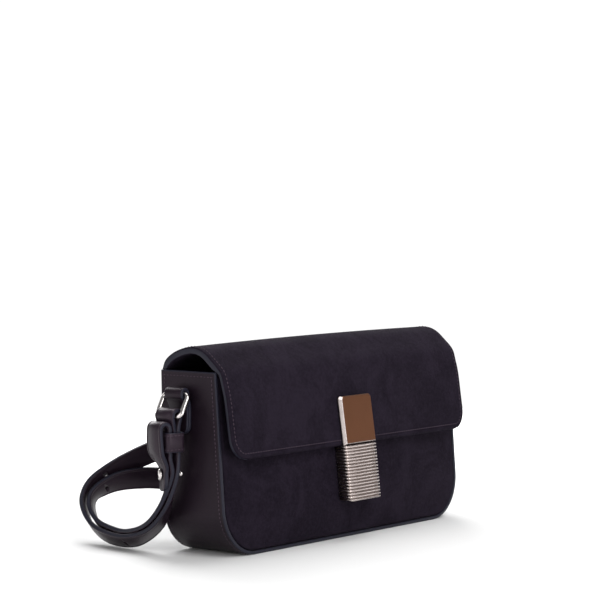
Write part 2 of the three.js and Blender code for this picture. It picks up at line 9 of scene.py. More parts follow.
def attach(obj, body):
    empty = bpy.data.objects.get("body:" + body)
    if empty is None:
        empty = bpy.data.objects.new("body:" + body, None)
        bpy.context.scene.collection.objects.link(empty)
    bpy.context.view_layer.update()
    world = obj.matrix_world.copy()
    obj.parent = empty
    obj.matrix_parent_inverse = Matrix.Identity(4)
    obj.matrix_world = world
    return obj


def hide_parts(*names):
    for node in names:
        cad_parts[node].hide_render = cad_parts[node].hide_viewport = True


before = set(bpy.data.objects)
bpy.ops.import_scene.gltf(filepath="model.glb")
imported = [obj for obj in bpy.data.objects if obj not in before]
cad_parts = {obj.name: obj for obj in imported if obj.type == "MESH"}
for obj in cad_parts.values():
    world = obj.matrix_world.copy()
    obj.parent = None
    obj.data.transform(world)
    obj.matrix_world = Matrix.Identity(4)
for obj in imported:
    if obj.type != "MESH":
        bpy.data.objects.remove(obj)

bl_info = {
    "name": "Baguette Bag",
    "version": (1, 0, 0),
    "blender": (4, 5, 0),
    "location": "View3D > Sidebar > Bag",
    "description": "Builds a suede baguette bag with a ribbed clasp and a doubled leather strap",
    "category": "Add Mesh",
}

# Metres, +Z up. The bag stands on its base and its front faces -Y.

# The clearance between pieces that touch, and the walls of the leather and the suede
SEAT = 0.0003
GUSSET_WALL = 0.0022
PANEL_WALL = 0.0024
PANEL_INSET = GUSSET_WALL + SEAT

# How far the edge paint laps onto the leather, and how round the suede's edges are
PAINT_LAP = 0.0008
FRONT_ROLL = 0.0018
FLAP_ROLL = 0.0009

# The flap: how far its sides stand in, and how much it swells and crowns over the arch
FLAP_INSET = 0.001
ARCH_SWELL = 0.0014
ARCH_CROWN = 0.001

# Rows of stitches: how far from the edge they run, and how far proud of the leather
STITCH_INSET = 0.003
STITCH_PROUD = 0.0001

# The arch of the flap, as shares of the bag's depth at the top and of the arch's rise
ARCH_ROWS = [
    {"across": 0.0, "up": 0.0},
    {"across": 0.05, "up": 0.36},
    {"across": 0.16, "up": 0.64},
    {"across": 0.35, "up": 0.89},
    {"across": 0.57, "up": 1.0},
    {"across": 0.76, "up": 0.86},
    {"across": 0.95, "up": 0.44},
    {"across": 1.1, "up": 0.0},
]

# The flap's front, as shares of its drop and of the bag's depth at the top
FRONT_ROWS = [
    {"down": 0.14, "out": 1.158},
    {"down": 0.28, "out": 1.203},
    {"down": 0.6, "out": 1.263},
    {"down": 1.0, "out": 1.338},
]

# The strap's loop, as shares of the bag's depth at the base and of the ring's lower bar's height.
# turn and tilt aim the strap's width, inset and drop place the inner run by the outer one.
LOOP_ROWS = [
    {"out": -0.09, "back": -0.01, "up": 0.588, "turn": 34, "tilt": 0, "inset": 1.05, "drop": 0},
    {"out": -0.08, "back": 0.07, "up": 0.385, "turn": 60, "tilt": -8, "inset": 1.15, "drop": 0},
    {"out": -0.09, "back": 0.29, "up": 0.198, "turn": 90, "tilt": -2, "inset": 1.15, "drop": 0},
    {"out": -0.11, "back": 0.7, "up": 0.082, "turn": 100, "tilt": 28, "inset": 1.15, "drop": 0},
    {"out": -0.18, "back": 1.15, "up": 0.073, "turn": 95, "tilt": 42, "inset": 1.3, "drop": 0},
    {"out": -0.25, "back": 1.455, "up": 0.113, "turn": 84, "tilt": 42, "inset": 1.3, "drop": 0},
    {"out": -0.31, "back": 1.67, "up": 0.2, "turn": 70, "tilt": 38, "inset": 1.35, "drop": 0.03},
    {"out": -0.36, "back": 1.755, "up": 0.315, "turn": 62, "tilt": 18, "inset": 1.5, "drop": 0.06},
    {"out": -0.45, "back": 1.68, "up": 0.42, "turn": 75, "tilt": 29, "inset": 1.7, "drop": 0.15},
    {"out": -0.61, "back": 1.49, "up": 0.515, "turn": 83, "tilt": 50, "inset": 1.55, "drop": 0.4},
    {"out": -0.85, "back": 1.28, "up": 0.605, "turn": 90, "tilt": 64, "inset": 1.1, "drop": 0.93},
    {"out": -1.19, "back": 1.02, "up": 0.693, "turn": 95, "tilt": 73, "inset": 0.5, "drop": 1.55},
    {"out": -1.69, "back": 0.76, "up": 0.745, "turn": 97, "tilt": 82, "inset": 0, "drop": 1.65},
    {"out": -2.33, "back": 0.545, "up": 0.759, "turn": 94, "tilt": 87, "inset": 0, "drop": 1.57},
]

# Heights of the two runs behind the bag, as shares of the bag's height
MIDDLE_SHARES = {"outer": 0.58, "inner": 0.385}

# Where the inner run lies at the right ring, in layers, and the holes, as shares of the strap
LOOSE = 1.1
HOLE_SHARES = [0.104, 0.164, 0.8395]


def length(name, description, default):
    """A length that a user can change."""
    return FloatProperty(
        name=name, description=description, default=default, min=0.0, unit="LENGTH"
    )


def colour(name, description, default):
    """A colour that a user can change."""
    return FloatVectorProperty(
        name=name,
        description=description,
        default=default,
        size=3,
        min=0.0,
        max=1.0,
        subtype="COLOR",
    )


class BagSizes(bpy.types.PropertyGroup):
    """Sizes of the bag."""

    width: length("Width", "Outside width of the gusset", 0.250)
    height: length("Height", "Height of the gusset's upper edge", 0.1125)
    corner: length("Corner", "Radius of the lower corners seen from the front", 0.0295)
    depth_base: length("Depth at the base", "Depth of the gusset at the base", 0.0486)
    depth_top: length("Depth at the top", "Depth of the gusset at its upper edge", 0.0428)
    lean: length("Lean", "How far the top leans back", 0.0054)
    puff: length("Puff", "How far stuffing pushes the front out", 0.0055)
    flap_wall: length("Flap thickness", "Thickness of the flap", 0.003)
    flap_rise: length("Flap rise", "Height of the flap's arch over the gusset", 0.0148)
    flap_drop: length("Flap drop", "How far the flap hangs down the front", 0.0525)
    flap_corner: length("Flap corner", "Radius of the flap's lower corners", 0.0135)
    clasp_width: length("Clasp width", "Width of the clasp", 0.033)
    clasp_height: length("Clasp plate height", "Height of the clasp's plate", 0.031)
    block_height: length("Block height", "Height of the clasp's ribbed block", 0.035)
    rib_count: IntProperty(name="Ribs", description="Ribs on the clasp's block", default=18, min=2)
    strap_width: length("Strap width", "Width of the strap", 0.014)
    strap_wall: length("Strap thickness", "Thickness of the strap", 0.0028)
    stitch_pitch: length("Stitch pitch", "Distance from one stitch to the next", 0.0025)
    stitch_length: length("Stitch length", "Length of one stitch", 0.0016)
    thread: length("Thread", "Thickness of the sewing thread", 0.0005)


class BagColours(bpy.types.PropertyGroup):
    """Colours of the bag."""

    suede: colour("Suede", "Suede of the front, back and flap", (0.0060, 0.0041, 0.0079))
    nap: colour("Brushed nap", "Suede where its nap catches the light", (0.0132, 0.0096, 0.0166))
    leather: colour("Leather", "Smooth leather of the gusset and strap", (0.0066, 0.0038, 0.0066))
    edge: colour("Edge paint", "Paint on the cut edges", (0.0100, 0.0098, 0.0170))
    thread: colour("Thread", "Sewing thread", (0.060, 0.040, 0.057))
    silver: colour("Silver", "Polished metal", (0.66, 0.62, 0.61))
    bronze: colour("Bronze", "Facing of the clasp", (0.145, 0.058, 0.027))
    # The inside's default is the raw leather's colour painted lighter, as painted light in the
    # bag's opening under the flap
    inside: colour("Inside", "Raw inner side of the leather", (0.034, 0.029, 0.033))


# Curves and meshes

# A distance, or a share of a line, too small to matter
TINY = 1e-4


def mix(a, b, share):
    """The value a share of the way from a to b."""
    return a + (b - a) * share


class Route:
    """A smooth line through points of any size, with centripetal spacing."""

    def __init__(self, points):
        self.points = [Vector(p) for p in points]

    def _knots(self, place):
        """The four points round a place, and how far it lies between the middle two."""
        spans = len(self.points) - 1
        i = min(int(place), spans - 1)
        a, b = self.points[i], self.points[i + 1]
        before = self.points[i - 1] if i > 0 else a * 2 - b
        after = self.points[i + 2] if i + 2 <= spans else b * 2 - a
        return before, a, b, after, place - i

    def at(self, share):
        """The point at a share of the way, counted in spans."""
        p0, p1, p2, p3, w = self._knots(share * (len(self.points) - 1))
        d0, d1, d2 = ((b - a).length ** 0.5 for a, b in ((p0, p1), (p1, p2), (p2, p3)))
        d1 = 1.0 if d1 < TINY else d1
        d0 = d1 if d0 < TINY else d0
        d2 = d1 if d2 < TINY else d2
        leave = ((p1 - p0) / d0 - (p2 - p0) / (d0 + d1) + (p2 - p1) / d1) * d1
        reach = ((p2 - p1) / d1 - (p3 - p1) / (d1 + d2) + (p3 - p2) / d2) * d1
        bend = 3 * (p2 - p1) - 2 * leave - reach
        twist = 2 * (p1 - p2) + leave + reach
        return p1 + w * (leave + w * (bend + w * twist))

    def along(self, share):
        """The direction at a share of the way."""
        low, high = max(share - TINY, 0.0), min(share + TINY, 1.0)
        return (self.at(high) - self.at(low)).normalized()

    def even(self, count):
        """Points at equal distances along the line."""
        tries = 12 * count
        fine = [self.at(i / tries) for i in range(tries + 1)]
        runs = [0.0]
        for a, b in zip(fine, fine[1:]):
            runs.append(runs[-1] + (b - a).length)
        placed, k = [], 0
        for i in range(count + 1):
            run = runs[-1] * i / count
            while k < len(runs) - 2 and runs[k + 1] < run:
                k += 1
            share = (run - runs[k]) / max(runs[k + 1] - runs[k], 1e-12)
            placed.append(fine[k].lerp(fine[k + 1], share))
        return placed


def linked(name, data):
    """A new object in the scene."""
    made = bpy.data.objects.new(name, data)
    bpy.context.scene.collection.objects.link(made)
    return made


def evaluated(made):
    """The mesh of an object with its modifiers applied."""
    bpy.context.view_layer.update()
    graph = bpy.context.evaluated_depsgraph_get()
    return bpy.data.meshes.new_from_object(made.evaluated_get(graph), depsgraph=graph)


def piece(name, points, faces, materials, indices=None, smooth=True):
    """A mesh object at the origin, with its faces turned outwards and its material slot named."""
    mesh = bpy.data.meshes.new(name)
    mesh.from_pydata([tuple(p) for p in points], [], faces)
    for material in materials:
        mesh.materials.append(material)
    if indices:
        mesh.polygons.foreach_set("material_index", indices)
    mesh.polygons.foreach_set("use_smooth", [smooth] * len(mesh.polygons))
    outwards(mesh)
    made = linked(name, mesh)
    return made


def outwards(mesh):
    """Turns the faces of a closed mesh outwards."""
    work = bmesh.new()
    work.from_mesh(mesh)
    bmesh.ops.remove_doubles(work, verts=work.verts, dist=1e-7)
    bmesh.ops.recalc_face_normals(work, faces=work.faces)
    work.to_mesh(mesh)
    work.free()
    mesh.update()


def sheet_faces(rows, columns):
    """Faces of a closed sheet between two grids, and their kinds: 0 face, 1 cut edge, 2 back."""
    back = rows * columns
    faces, kinds = [], []
    for i in range(rows - 1):
        for j in range(columns - 1):
            a = i * columns + j
            d = a + columns
            faces += [(a, a + 1, d + 1, d), (back + a, back + d, back + d + 1, back + a + 1)]
            kinds += [0, 2]
    rim = [(j, j + 1) for j in range(columns - 1)]
    rim += [((rows - 1) * columns + j + 1, (rows - 1) * columns + j) for j in range(columns - 1)]
    rim += [((i + 1) * columns, i * columns) for i in range(rows - 1)]
    rim += [(i * columns + columns - 1, (i + 2) * columns - 1) for i in range(rows - 1)]
    for a, b in rim:
        faces.append((a, back + a, back + b, b))
        kinds.append(1)
    return faces, kinds


def sheet(name, outer, inner, materials):
    """A closed sheet between two grids of points, with a material each for face, edge and back."""
    faces, kinds = sheet_faces(len(outer), len(outer[0]))
    points = [p for row in outer + inner for p in row]
    return piece(name, points, faces, materials, kinds)


def loft(name, sections, materials, kinds=None, closed=False, smooth=True):
    """A closed body through like rings. kinds gives each side of the ring its material."""
    ring = len(sections[0])
    spans = len(sections) if closed else len(sections) - 1
    faces, indices = [], []
    for i in range(spans):
        near, far = i * ring, ((i + 1) % len(sections)) * ring
        for j in range(ring):
            k = (j + 1) % ring
            faces.append((near + j, near + k, far + k, far + j))
            indices.append(kinds[j] if kinds else 0)
    if not closed:
        last = (len(sections) - 1) * ring
        faces += [tuple(range(ring)), tuple(last + j for j in range(ring))]
        indices += [max(kinds) if kinds else 0] * 2
    points = [p for section in sections for p in section]
    return piece(name, points, faces, materials, indices, smooth=smooth)


def soften(made, width, segments, angle):
    """Rounds the edges of a piece that are sharper than an angle in degrees."""
    bevel = made.modifiers.new("Rounded edges", "BEVEL")
    bevel.width = width
    bevel.segments = segments
    bevel.limit_method = "ANGLE"
    bevel.angle_limit = math.radians(angle)


def carve(made, operation, solver, tools):
    """Cuts a piece with other bodies, applies that and deletes them."""
    for tool in tools:
        cut = made.modifiers.new(tool.name, "BOOLEAN")
        cut.operation = operation
        cut.solver = solver
        cut.object = tool
    mesh = evaluated(made)
    made.modifiers.clear()
    old, made.data = made.data, mesh
    bpy.data.meshes.remove(old)
    for tool in tools:
        bpy.data.objects.remove(tool)


def circle(centre, side, other, radius, count):
    """Points round a circle, from two directions across it."""
    turns = [2 * math.pi * k / count for k in range(count)]
    return [centre + (side * math.cos(turn) + other * math.sin(turn)) * radius for turn in turns]


def rounded_rectangle(width, height, radius, steps, low_radius=None):
    """Points round a rectangle with rounded corners, anticlockwise."""
    points = []
    for quarter, (sx, sy) in enumerate(((1, 1), (-1, 1), (-1, -1), (1, -1))):
        bend = low_radius if low_radius and sy < 0 else radius
        for k in range(steps + 1):
            angle = (quarter + k / steps) * math.pi / 2
            x = sx * (width / 2 - bend) + bend * math.cos(angle)
            y = sy * (height / 2 - bend) + bend * math.sin(angle)
            points.append((x, y))
    return points


# The box of the bag


def depth_at(size, z):
    """The gusset's depth at a height."""
    return mix(size.depth_base, size.depth_top, z / size.height)


def front_at(size, z):
    """Where the gusset's front edge lies at a height."""
    return size.lean * z / size.height - depth_at(size, z) / 2


def back_at(size, z):
    """Where the gusset's back edge lies at a height."""
    return size.lean * z / size.height + depth_at(size, z) / 2


def corner_half(half, radius, distance):
    """Half the width of a shape with rounded corners, at a distance from their end."""
    if distance >= radius:
        return half
    rise = radius - distance
    return half - radius + math.sqrt(max(radius * radius - rise * rise, 0.0))


def puff_at(size, x, z):
    """How far the front is pushed out at a place on it. It bulges most low down."""
    fullest = 0.28
    half = size.width / 2 - PANEL_INSET
    low = z / size.height / fullest
    level = 1 - (1 - low) ** 2 if low < 1 else 1 - ((low - 1) / (1 / fullest - 1)) ** 1.5
    return size.puff * max(1 - (x / half) ** 2, 0.0) * max(level, 0.0)


def front_face(size, x, z):
    """Where the puffed front's face lies at a place on it."""
    return front_at(size, z) - puff_at(size, x, z)


def gusset_path(size, inset):
    """The U of the gusset seen from the front, from the top left round to the top right."""
    wall_steps, corner_steps, floor_steps = 16, 18, 12
    half = size.width / 2 - inset
    radius = size.corner - inset
    left = [(-half, mix(size.height, size.corner, k / wall_steps)) for k in range(wall_steps)]
    for k in range(corner_steps + 1):
        angle = math.pi + k / corner_steps * math.pi / 2
        x, z = radius * math.cos(angle), radius * math.sin(angle)
        left.append((radius - half + x, size.corner + z))
    base = left[-1][1]
    left += [(mix(radius - half, 0, k / floor_steps), base) for k in range(1, floor_steps + 1)]
    return left + [(-x, z) for x, z in reversed(left[:-1])]


def panel_heights(size):
    """Heights of the rows across a panel, close together round its lower corners."""
    corner_steps, wall_steps = 22, 40
    radius = size.corner - PANEL_INSET
    turns = [k / corner_steps * math.pi / 2 for k in range(corner_steps)]
    corner = [PANEL_INSET + radius * (1 - math.cos(turn)) for turn in turns]
    bottom = PANEL_INSET + radius
    return corner + [mix(bottom, size.height, k / wall_steps) for k in range(wall_steps + 1)]


def spread():
    """Shares from -1 to 1 across a panel, closer together at its sides."""
    columns = 64
    return [math.sin((j / columns - 0.5) * math.pi) for j in range(columns + 1)]


def panel_half(size, z):
    """Half the width of the front or the back at a height."""
    half, corner = size.width / 2 - PANEL_INSET, size.corner - PANEL_INSET
    return corner_half(half, corner, z - PANEL_INSET)


def rolled(distance, radius):
    """How far a rounded edge falls away at a distance from it."""
    if distance >= radius:
        return 0.0
    return radius - math.sqrt(max(radius * radius - (radius - distance) ** 2, 0.0))


# Shader maths


class Value:
    """An output socket of a graph's nodes, for writing shader maths as expressions."""

    def __init__(self, graph, socket):
        self.graph = graph
        self.socket = socket

    def _math(self, operation, other):
        """Adds a Math node of this value and another, or a number."""
        return self.graph.add("ShaderNodeMath", {"operation": operation}, {0: self, 1: other})

    def __add__(self, other):
        return self._math("ADD", other)

    def __mul__(self, other):
        return self._math("MULTIPLY", other)

    __radd__ = __add__
    __rmul__ = __mul__

    def other(self, name):
        """Another output of the same node."""
        return Value(self.graph, self.socket.node.outputs[name])


def grey_stops(ramp, stops):
    """Gives a colour ramp its grey stops, each a position and a level."""
    while len(ramp.elements) > 1:
        ramp.elements.remove(ramp.elements[-1])
    ramp.elements[0].position, first = stops[0]
    ramp.elements[0].color = (first, first, first, 1)
    for position, level in stops[1:]:
        ramp.elements.new(position).color = (level, level, level, 1)


class Graph:
    """The nodes of a tree. One method makes them all."""

    def __init__(self, tree):
        self.tree = tree

    def add(self, kind, settings=None, inputs=None, output=0):
        """Adds a node, sets it up, feeds its sockets and gives one of its outputs."""
        node = self.tree.nodes.new(kind)
        for name, value in (settings or {}).items():
            if name == "stops":
                grey_stops(node.color_ramp, value)
            else:
                setattr(node, name, value)
        for socket, value in (inputs or {}).items():
            if isinstance(value, Value):
                self.join(value, node.inputs[socket])
            else:
                node.inputs[socket].default_value = value
        return Value(self, node.outputs[output]) if node.outputs else None

    def join(self, value, socket):
        """Links a value to a node's input."""
        self.tree.links.new(value.socket, socket)


class Finish(Graph):
    """A material with a Principled shader, and its nodes."""

    def __init__(self, name, **constants):
        self.material = bpy.data.materials.new(name)
        self.material.use_nodes = True
        super().__init__(self.material.node_tree)
        self.shader = self.tree.nodes["Principled BSDF"]
        for socket, value in constants.items():
            self.shader.inputs[socket.replace("_", " ")].default_value = value
        self.place = self.add("ShaderNodeTexCoord", output="Object")

    def noise(self, scale, detail, roughness=0.55, place=None, distortion=0.0):
        """Noise over the object; scale is in cycles per metre."""
        return self.add(
            "ShaderNodeTexNoise",
            inputs={
                "Vector": place or self.place,
                "Scale": scale,
                "Detail": detail,
                "Roughness": roughness,
                "Distortion": distortion,
            },
        )

    def cells(self, scale):
        """Distance to the nearest cell's centre, in cells."""
        return self.add("ShaderNodeTexVoronoi", inputs={"Vector": self.place, "Scale": scale})

    def ramp(self, value, *stops):
        """A value through a curve of grey stops."""
        return self.add("ShaderNodeValToRGB", {"stops": stops}, {"Fac": value})

    def stretched(self, scale):
        """The place with each axis scaled."""
        return self.add("ShaderNodeMapping", inputs={"Vector": self.place, "Scale": scale})

    def tint(self, mask, low, high):
        """A colour between two others."""
        colours = {0: mask, 6: (*low, 1), 7: (*high, 1)}
        return self.add("ShaderNodeMix", {"data_type": "RGBA"}, colours, output=2)

    def bump(self, height, distance, strength, normal=None):
        """A bumped normal; distance is in metres."""
        inputs = {"Height": height, "Distance": distance, "Strength": strength}
        if normal:
            inputs["Normal"] = normal
        return self.add("ShaderNodeBump", inputs=inputs)

    def feed(self, socket, value):
        """Links a value to a socket of the shader."""
        self.join(value, self.shader.inputs[socket])


def shade(base, *shares):
    """A colour times one share, or times a share of each of its parts."""
    shares = shares if len(shares) == len(base) else shares * len(base)
    return tuple(part * share for part, share in zip(base, shares))


def once(make):
    """Makes a material the first time that it is asked for."""
    made = {}

    def get(colours):
        if make not in made:
            made[make] = make(colours)
        return made[make]

    get.__doc__ = make.__doc__
    return get


@once
def suede(colours):
    """Brushed suede: cloudy nap, short fibres and no shine."""
    finish = Finish(
        "Suede", Roughness=0.95, Specular_IOR_Level=0.06, Sheen_Weight=0.13, Sheen_Roughness=0.5
    )
    finish.shader.inputs["Sheen Tint"].default_value = (*colours.nap, 1)
    clouds = finish.ramp(finish.noise(30, 6, 0.7, distortion=0.8), (0.42, 0.0), (0.62, 1.0))
    down_the_nap = finish.stretched((240, 240, 90))
    strokes = finish.ramp(finish.noise(1, 4, 0.6, down_the_nap), (0.3, 0.0), (0.75, 1.0))
    fibres = finish.noise(2600, 3, 0.7)
    mottle = finish.ramp(finish.noise(480, 4, 0.75), (0.42, 0.0), (0.62, 1.0))
    brushed = clouds * 0.65 + strokes * 0.2 + mottle * 0.5 + fibres * 0.1
    finish.feed("Base Color", finish.tint(brushed, colours.suede, colours.nap))
    worked = finish.bump(finish.noise(90, 4, 0.55), 0.0016, 0.35)
    finish.feed("Normal", finish.bump(fibres + 0.6 * finish.noise(900, 3), 0.00035, 0.8, worked))
    return finish.material


def calf(name, base, specular):
    """Calf leather: fine pebbled grain under a soft wax."""
    finish = Finish(name, Specular_IOR_Level=specular, Coat_Weight=0.02, Coat_Roughness=0.25)
    finish.shader.inputs["Specular Tint"].default_value = (1.0, 0.84, 0.96, 1)
    tone = finish.ramp(finish.noise(45, 5, 0.6), (0.3, 0.0), (0.75, 1.0))
    finish.feed("Base Color", finish.tint(tone, base, shade(base, 1.55)))
    grain = finish.cells(1500) * 0.7 + finish.noise(3200, 2) * 0.5
    finish.feed("Roughness", 0.30 + tone * 0.1 + grain * 0.06)
    waves = finish.bump(finish.noise(60, 3), 0.0012, 0.3)
    finish.feed("Normal", finish.bump(grain, 0.00012, 0.55, waves))
    return finish.material


@once
def smooth_leather(colours):
    """The leather of the gusset and the tabs."""
    return calf("Smooth leather", colours.leather, 0.17)


@once
def strap_leather(colours):
    """The strap's and the keeper's leather, which is handled more and a little lighter."""
    return calf("Strap leather", shade(colours.leather, 1.4), 0.26)


@once
def edge_paint(colours):
    """Painted cut edge: smooth, slightly uneven, a little glossy."""
    finish = Finish("Edge paint", Specular_IOR_Level=0.18)
    uneven = finish.noise(420, 3)
    finish.feed("Base Color", finish.tint(uneven, colours.edge, shade(colours.edge, 1.5)))
    finish.feed("Roughness", 0.34 + uneven * 0.18)
    finish.feed("Normal", finish.bump(uneven, 0.0003, 0.4))
    return finish.material


@once
def raw_inside_painted_lighter(colours):
    """Raw inner side of the leather: matt and fibrous."""
    finish = Finish("Raw inside", Roughness=0.95, Specular_IOR_Level=0.15)
    fibres = finish.noise(1400, 4, 0.7)
    finish.feed("Base Color", finish.tint(fibres, colours.inside, shade(colours.inside, 1.5)))
    finish.feed("Normal", finish.bump(fibres, 0.0003, 0.6))
    return finish.material


@once
def thread(colours):
    """Twisted sewing thread."""
    finish = Finish("Thread", Roughness=0.7, Specular_IOR_Level=0.2)
    twist = finish.noise(1, 2, 0.5, finish.stretched((3200, 3200, 3200)))
    finish.feed("Base Color", finish.tint(twist, shade(colours.thread, 0.7), colours.thread))
    finish.feed("Normal", finish.bump(twist, 0.0001, 0.5))
    return finish.material


@once
def polished_metal(colours):
    """The rings' and the stud's polished plated metal, with fine wear."""
    finish = Finish("Polished metal", Metallic=1.0)
    wear = finish.ramp(finish.noise(380, 6, 0.65), (0.35, 0.0), (0.8, 1.0))
    finish.feed("Base Color", finish.tint(wear, colours.silver, shade(colours.silver, 0.86)))
    finish.feed("Roughness", 0.13 + wear * 0.09)
    return finish.material


def satin_with_painted_shade(name, silver, shares, roughness):
    """Plated metal that is duller than the rings, by a share of each colour."""
    finish = Finish(name, Metallic=1.0)
    wear = finish.noise(70, 3, 0.5)
    painted_shade_silver = shade(silver, *shares)
    finish.feed("Base Color", finish.tint(wear, painted_shade_silver, shade(painted_shade_silver, 1.15)))
    finish.feed("Roughness", roughness + wear * 0.06)
    return finish.material


@once
def ribbed_metal_painted_shade_and_reflection(colours):
    """The plated metal of the block's ribs."""
    return satin_with_painted_shade("Ribbed metal", colours.silver, (0.77, 0.71, 0.69), 0.24)


@once
def plate_metal_with_painted_shade(colours):
    """The plated metal of the clasp's plate."""
    return satin_with_painted_shade("Plate metal", colours.silver, (0.52, 0.49, 0.48), 0.22)


@once
def groove_metal_with_painted_shade(colours):
    """The dark metal at the bottom of the grooves."""
    return satin_with_painted_shade("Groove metal", colours.silver, (0.22, 0.18, 0.16), 0.3)


@once
def bronze_facing(colours):
    """Satin bronze, brushed across."""
    finish = Finish("Bronze facing", Metallic=1.0)
    brushed = finish.noise(1, 3, 0.6, finish.stretched((120, 2600, 2600)))
    clouds = finish.noise(60, 3)
    finish.feed("Base Color", finish.tint(clouds, colours.bronze, shade(colours.bronze, 1.18)))
    finish.feed("Roughness", 0.3 + brushed * 0.12)
    finish.feed("Normal", finish.bump(brushed, 0.00003, 0.25))
    return finish.material


# Repeated pieces


class Repeat(Graph):
    """Geometry Nodes that set copies of a shape along a line, with named inputs."""

    def __init__(self, name, **kinds):
        super().__init__(bpy.data.node_groups.new(name, "GeometryNodeTree"))
        self.identifiers = {}
        self._socket("Geometry", "Geometry", "OUTPUT")
        for label, kind in {"Geometry": "Geometry", **kinds, "Material": "Material"}.items():
            self.identifiers[label] = self._socket(label, kind, "INPUT")
        self.given = self.add("NodeGroupInput", output="Geometry")

    def _socket(self, label, kind, side):
        """Adds a named socket to the tree and gives its identifier."""
        made = self.tree.interface.new_socket(label, in_out=side, socket_type="NodeSocket" + kind)
        return made.identifier

    def finish(self, copies):
        """Gives the copies their material and makes them the tree's result."""
        paint = self.given.other("Material")
        painted = self.add(
            "GeometryNodeSetMaterial", inputs={"Geometry": copies, "Material": paint}
        )
        self.add("NodeGroupOutput", inputs={"Geometry": painted})

    def mesh(self, lines, **values):
        """The plain mesh that the tree makes along lines of points."""
        name = self.tree.name
        curve = bpy.data.curves.new(name, "CURVE")
        curve.dimensions = "3D"
        for line in lines:
            spline = curve.splines.new("POLY")
            spline.points.add(len(line) - 1)
            for point, place in zip(spline.points, line):
                point.co = (*place, 1)
        carrier = linked(name, curve)
        modifier = carrier.modifiers.new(name, "NODES")
        modifier.node_group = self.tree
        for label, value in values.items():
            modifier[self.identifiers[label]] = value
        mesh = evaluated(carrier)
        carrier.modifiers.remove(modifier)
        bpy.data.objects.remove(carrier)
        return mesh


def stitches():
    """The tree that sews: thin ovals at an even pitch, each along the line."""
    graph = Repeat("Stitches", Pitch="Float", Length="Float", Thickness="Float")
    given = graph.given
    points = graph.add(
        "GeometryNodeCurveToPoints",
        {"mode": "LENGTH"},
        {"Curve": given, "Length": given.other("Pitch")},
    )
    tangent = {"Vector": points.other("Tangent")}
    ball = graph.add("GeometryNodeMeshUVSphere", inputs={"Segments": 8, "Rings": 6, "Radius": 0.5})
    thick, long = given.other("Thickness"), given.other("Length")
    sewn = graph.add(
        "GeometryNodeInstanceOnPoints",
        inputs={
            "Points": points,
            "Instance": ball,
            "Rotation": graph.add("FunctionNodeAlignRotationToVector", {"axis": "Z"}, tangent),
            "Scale": graph.add("ShaderNodeCombineXYZ", inputs={"X": thick, "Y": thick, "Z": long}),
        },
    )
    real = graph.add("GeometryNodeRealizeInstances", inputs={"Geometry": sewn})
    graph.finish(graph.add("GeometryNodeSetShadeSmooth", inputs={"Geometry": real}))
    return graph


def stitched(name, lines, size, colours):
    """Rows of stitches along lines of points, as one piece."""
    mesh = stitches().mesh(
        lines,
        Pitch=size.stitch_pitch,
        Length=size.stitch_length,
        Thickness=size.thread,
        Material=thread(colours),
    )
    made = linked(name, mesh)
    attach(made, "root")


def ribs_down():
    """The tree that sets copies of one rib at equal distances down a line."""
    graph = Repeat("Ribs", Count="Int", Rib="Object")
    given = graph.given
    points = graph.add(
        "GeometryNodeCurveToPoints",
        {"mode": "COUNT"},
        {"Curve": given, "Count": given.other("Count")},
    )
    rib = graph.add(
        "GeometryNodeObjectInfo",
        {"transform_space": "ORIGINAL"},
        {"Object": given.other("Rib")},
        output="Geometry",
    )
    placed = graph.add("GeometryNodeInstanceOnPoints", inputs={"Points": points, "Instance": rib})
    graph.finish(graph.add("GeometryNodeRealizeInstances", inputs={"Geometry": placed}))
    return graph


# The body of the bag


def build_gusset(size, colours):
    """The gusset's strip, with its cut edges painted."""
    paths = []
    for inset in (0, GUSSET_WALL):
        path = gusset_path(size, inset)
        ends = [(x, size.height - PAINT_LAP) for x, _z in (path[0], path[-1])]
        paths.append([path[0], ends[0], *path[1:-1], ends[1], path[-1]])
    strips = 10
    sections = []
    for (x, z), (ix, iz) in zip(*paths):
        near, far = front_at(size, z), back_at(size, z)
        lap = PAINT_LAP / (far - near)
        shares = [0, lap, *(k / strips for k in range(1, strips)), 1 - lap, 1]
        sections.append(
            [Vector((x, mix(near, far, share), z)) for share in shares]
            + [Vector((ix, mix(far, near, share), iz)) for share in shares]
        )
    leather, paint, inside = 0, 1, 2
    kinds = [paint] + [leather] * strips + [paint] * 3 + [inside] * strips + [paint] * 2
    made = loft(
        "bag_gusset",
        sections,
        [smooth_leather(colours), edge_paint(colours), raw_inside_painted_lighter(colours)],
        kinds,
    )
    for face in made.data.polygons:
        if face.center.z > size.height - PAINT_LAP:
            face.material_index = paint
    soften(made, 0.0006, 3, 50)
    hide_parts("gusset")
    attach(made, "root")


def build_front(size, colours):
    """The puffed suede front, with its edge rolled in against the gusset."""
    heights = panel_heights(size)
    shares = spread()

    def rows(offset, roll):
        grid = []
        for z in heights:
            half = panel_half(size, z)
            row = []
            for share in shares:
                x = share * half
                from_edge = min(half - abs(x), z - PANEL_INSET)
                fall = rolled(from_edge, FRONT_ROLL) * roll
                row.append(Vector((x, front_face(size, x, z) + offset + fall, z)))
            grid.append(row)
        return grid

    made = sheet(
        "bag_front",
        rows(0, 1),
        rows(PANEL_WALL, 0),
        [suede(colours), suede(colours), raw_inside_painted_lighter(colours)],
    )
    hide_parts("front_panel")
    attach(made, "root")


def flap_place(size, out, up):
    """A place on the flap's outside in the middle of the bag, by shares of the top's depth."""
    top = size.height
    return Vector((0, back_at(size, top) - out * size.depth_top, top + up))


def flap_front(size, row):
    """The place of one row of the flap's front."""
    return flap_place(size, row["out"], -row["down"] * size.flap_drop)


def flap_points(size):
    """The flap's outside in the YZ plane, from the back corner over the arch to its lower edge."""
    arch = [flap_place(size, row["across"], row["up"] * size.flap_rise) for row in ARCH_ROWS]
    return Route(arch + [flap_front(size, row) for row in FRONT_ROWS]).even(96)


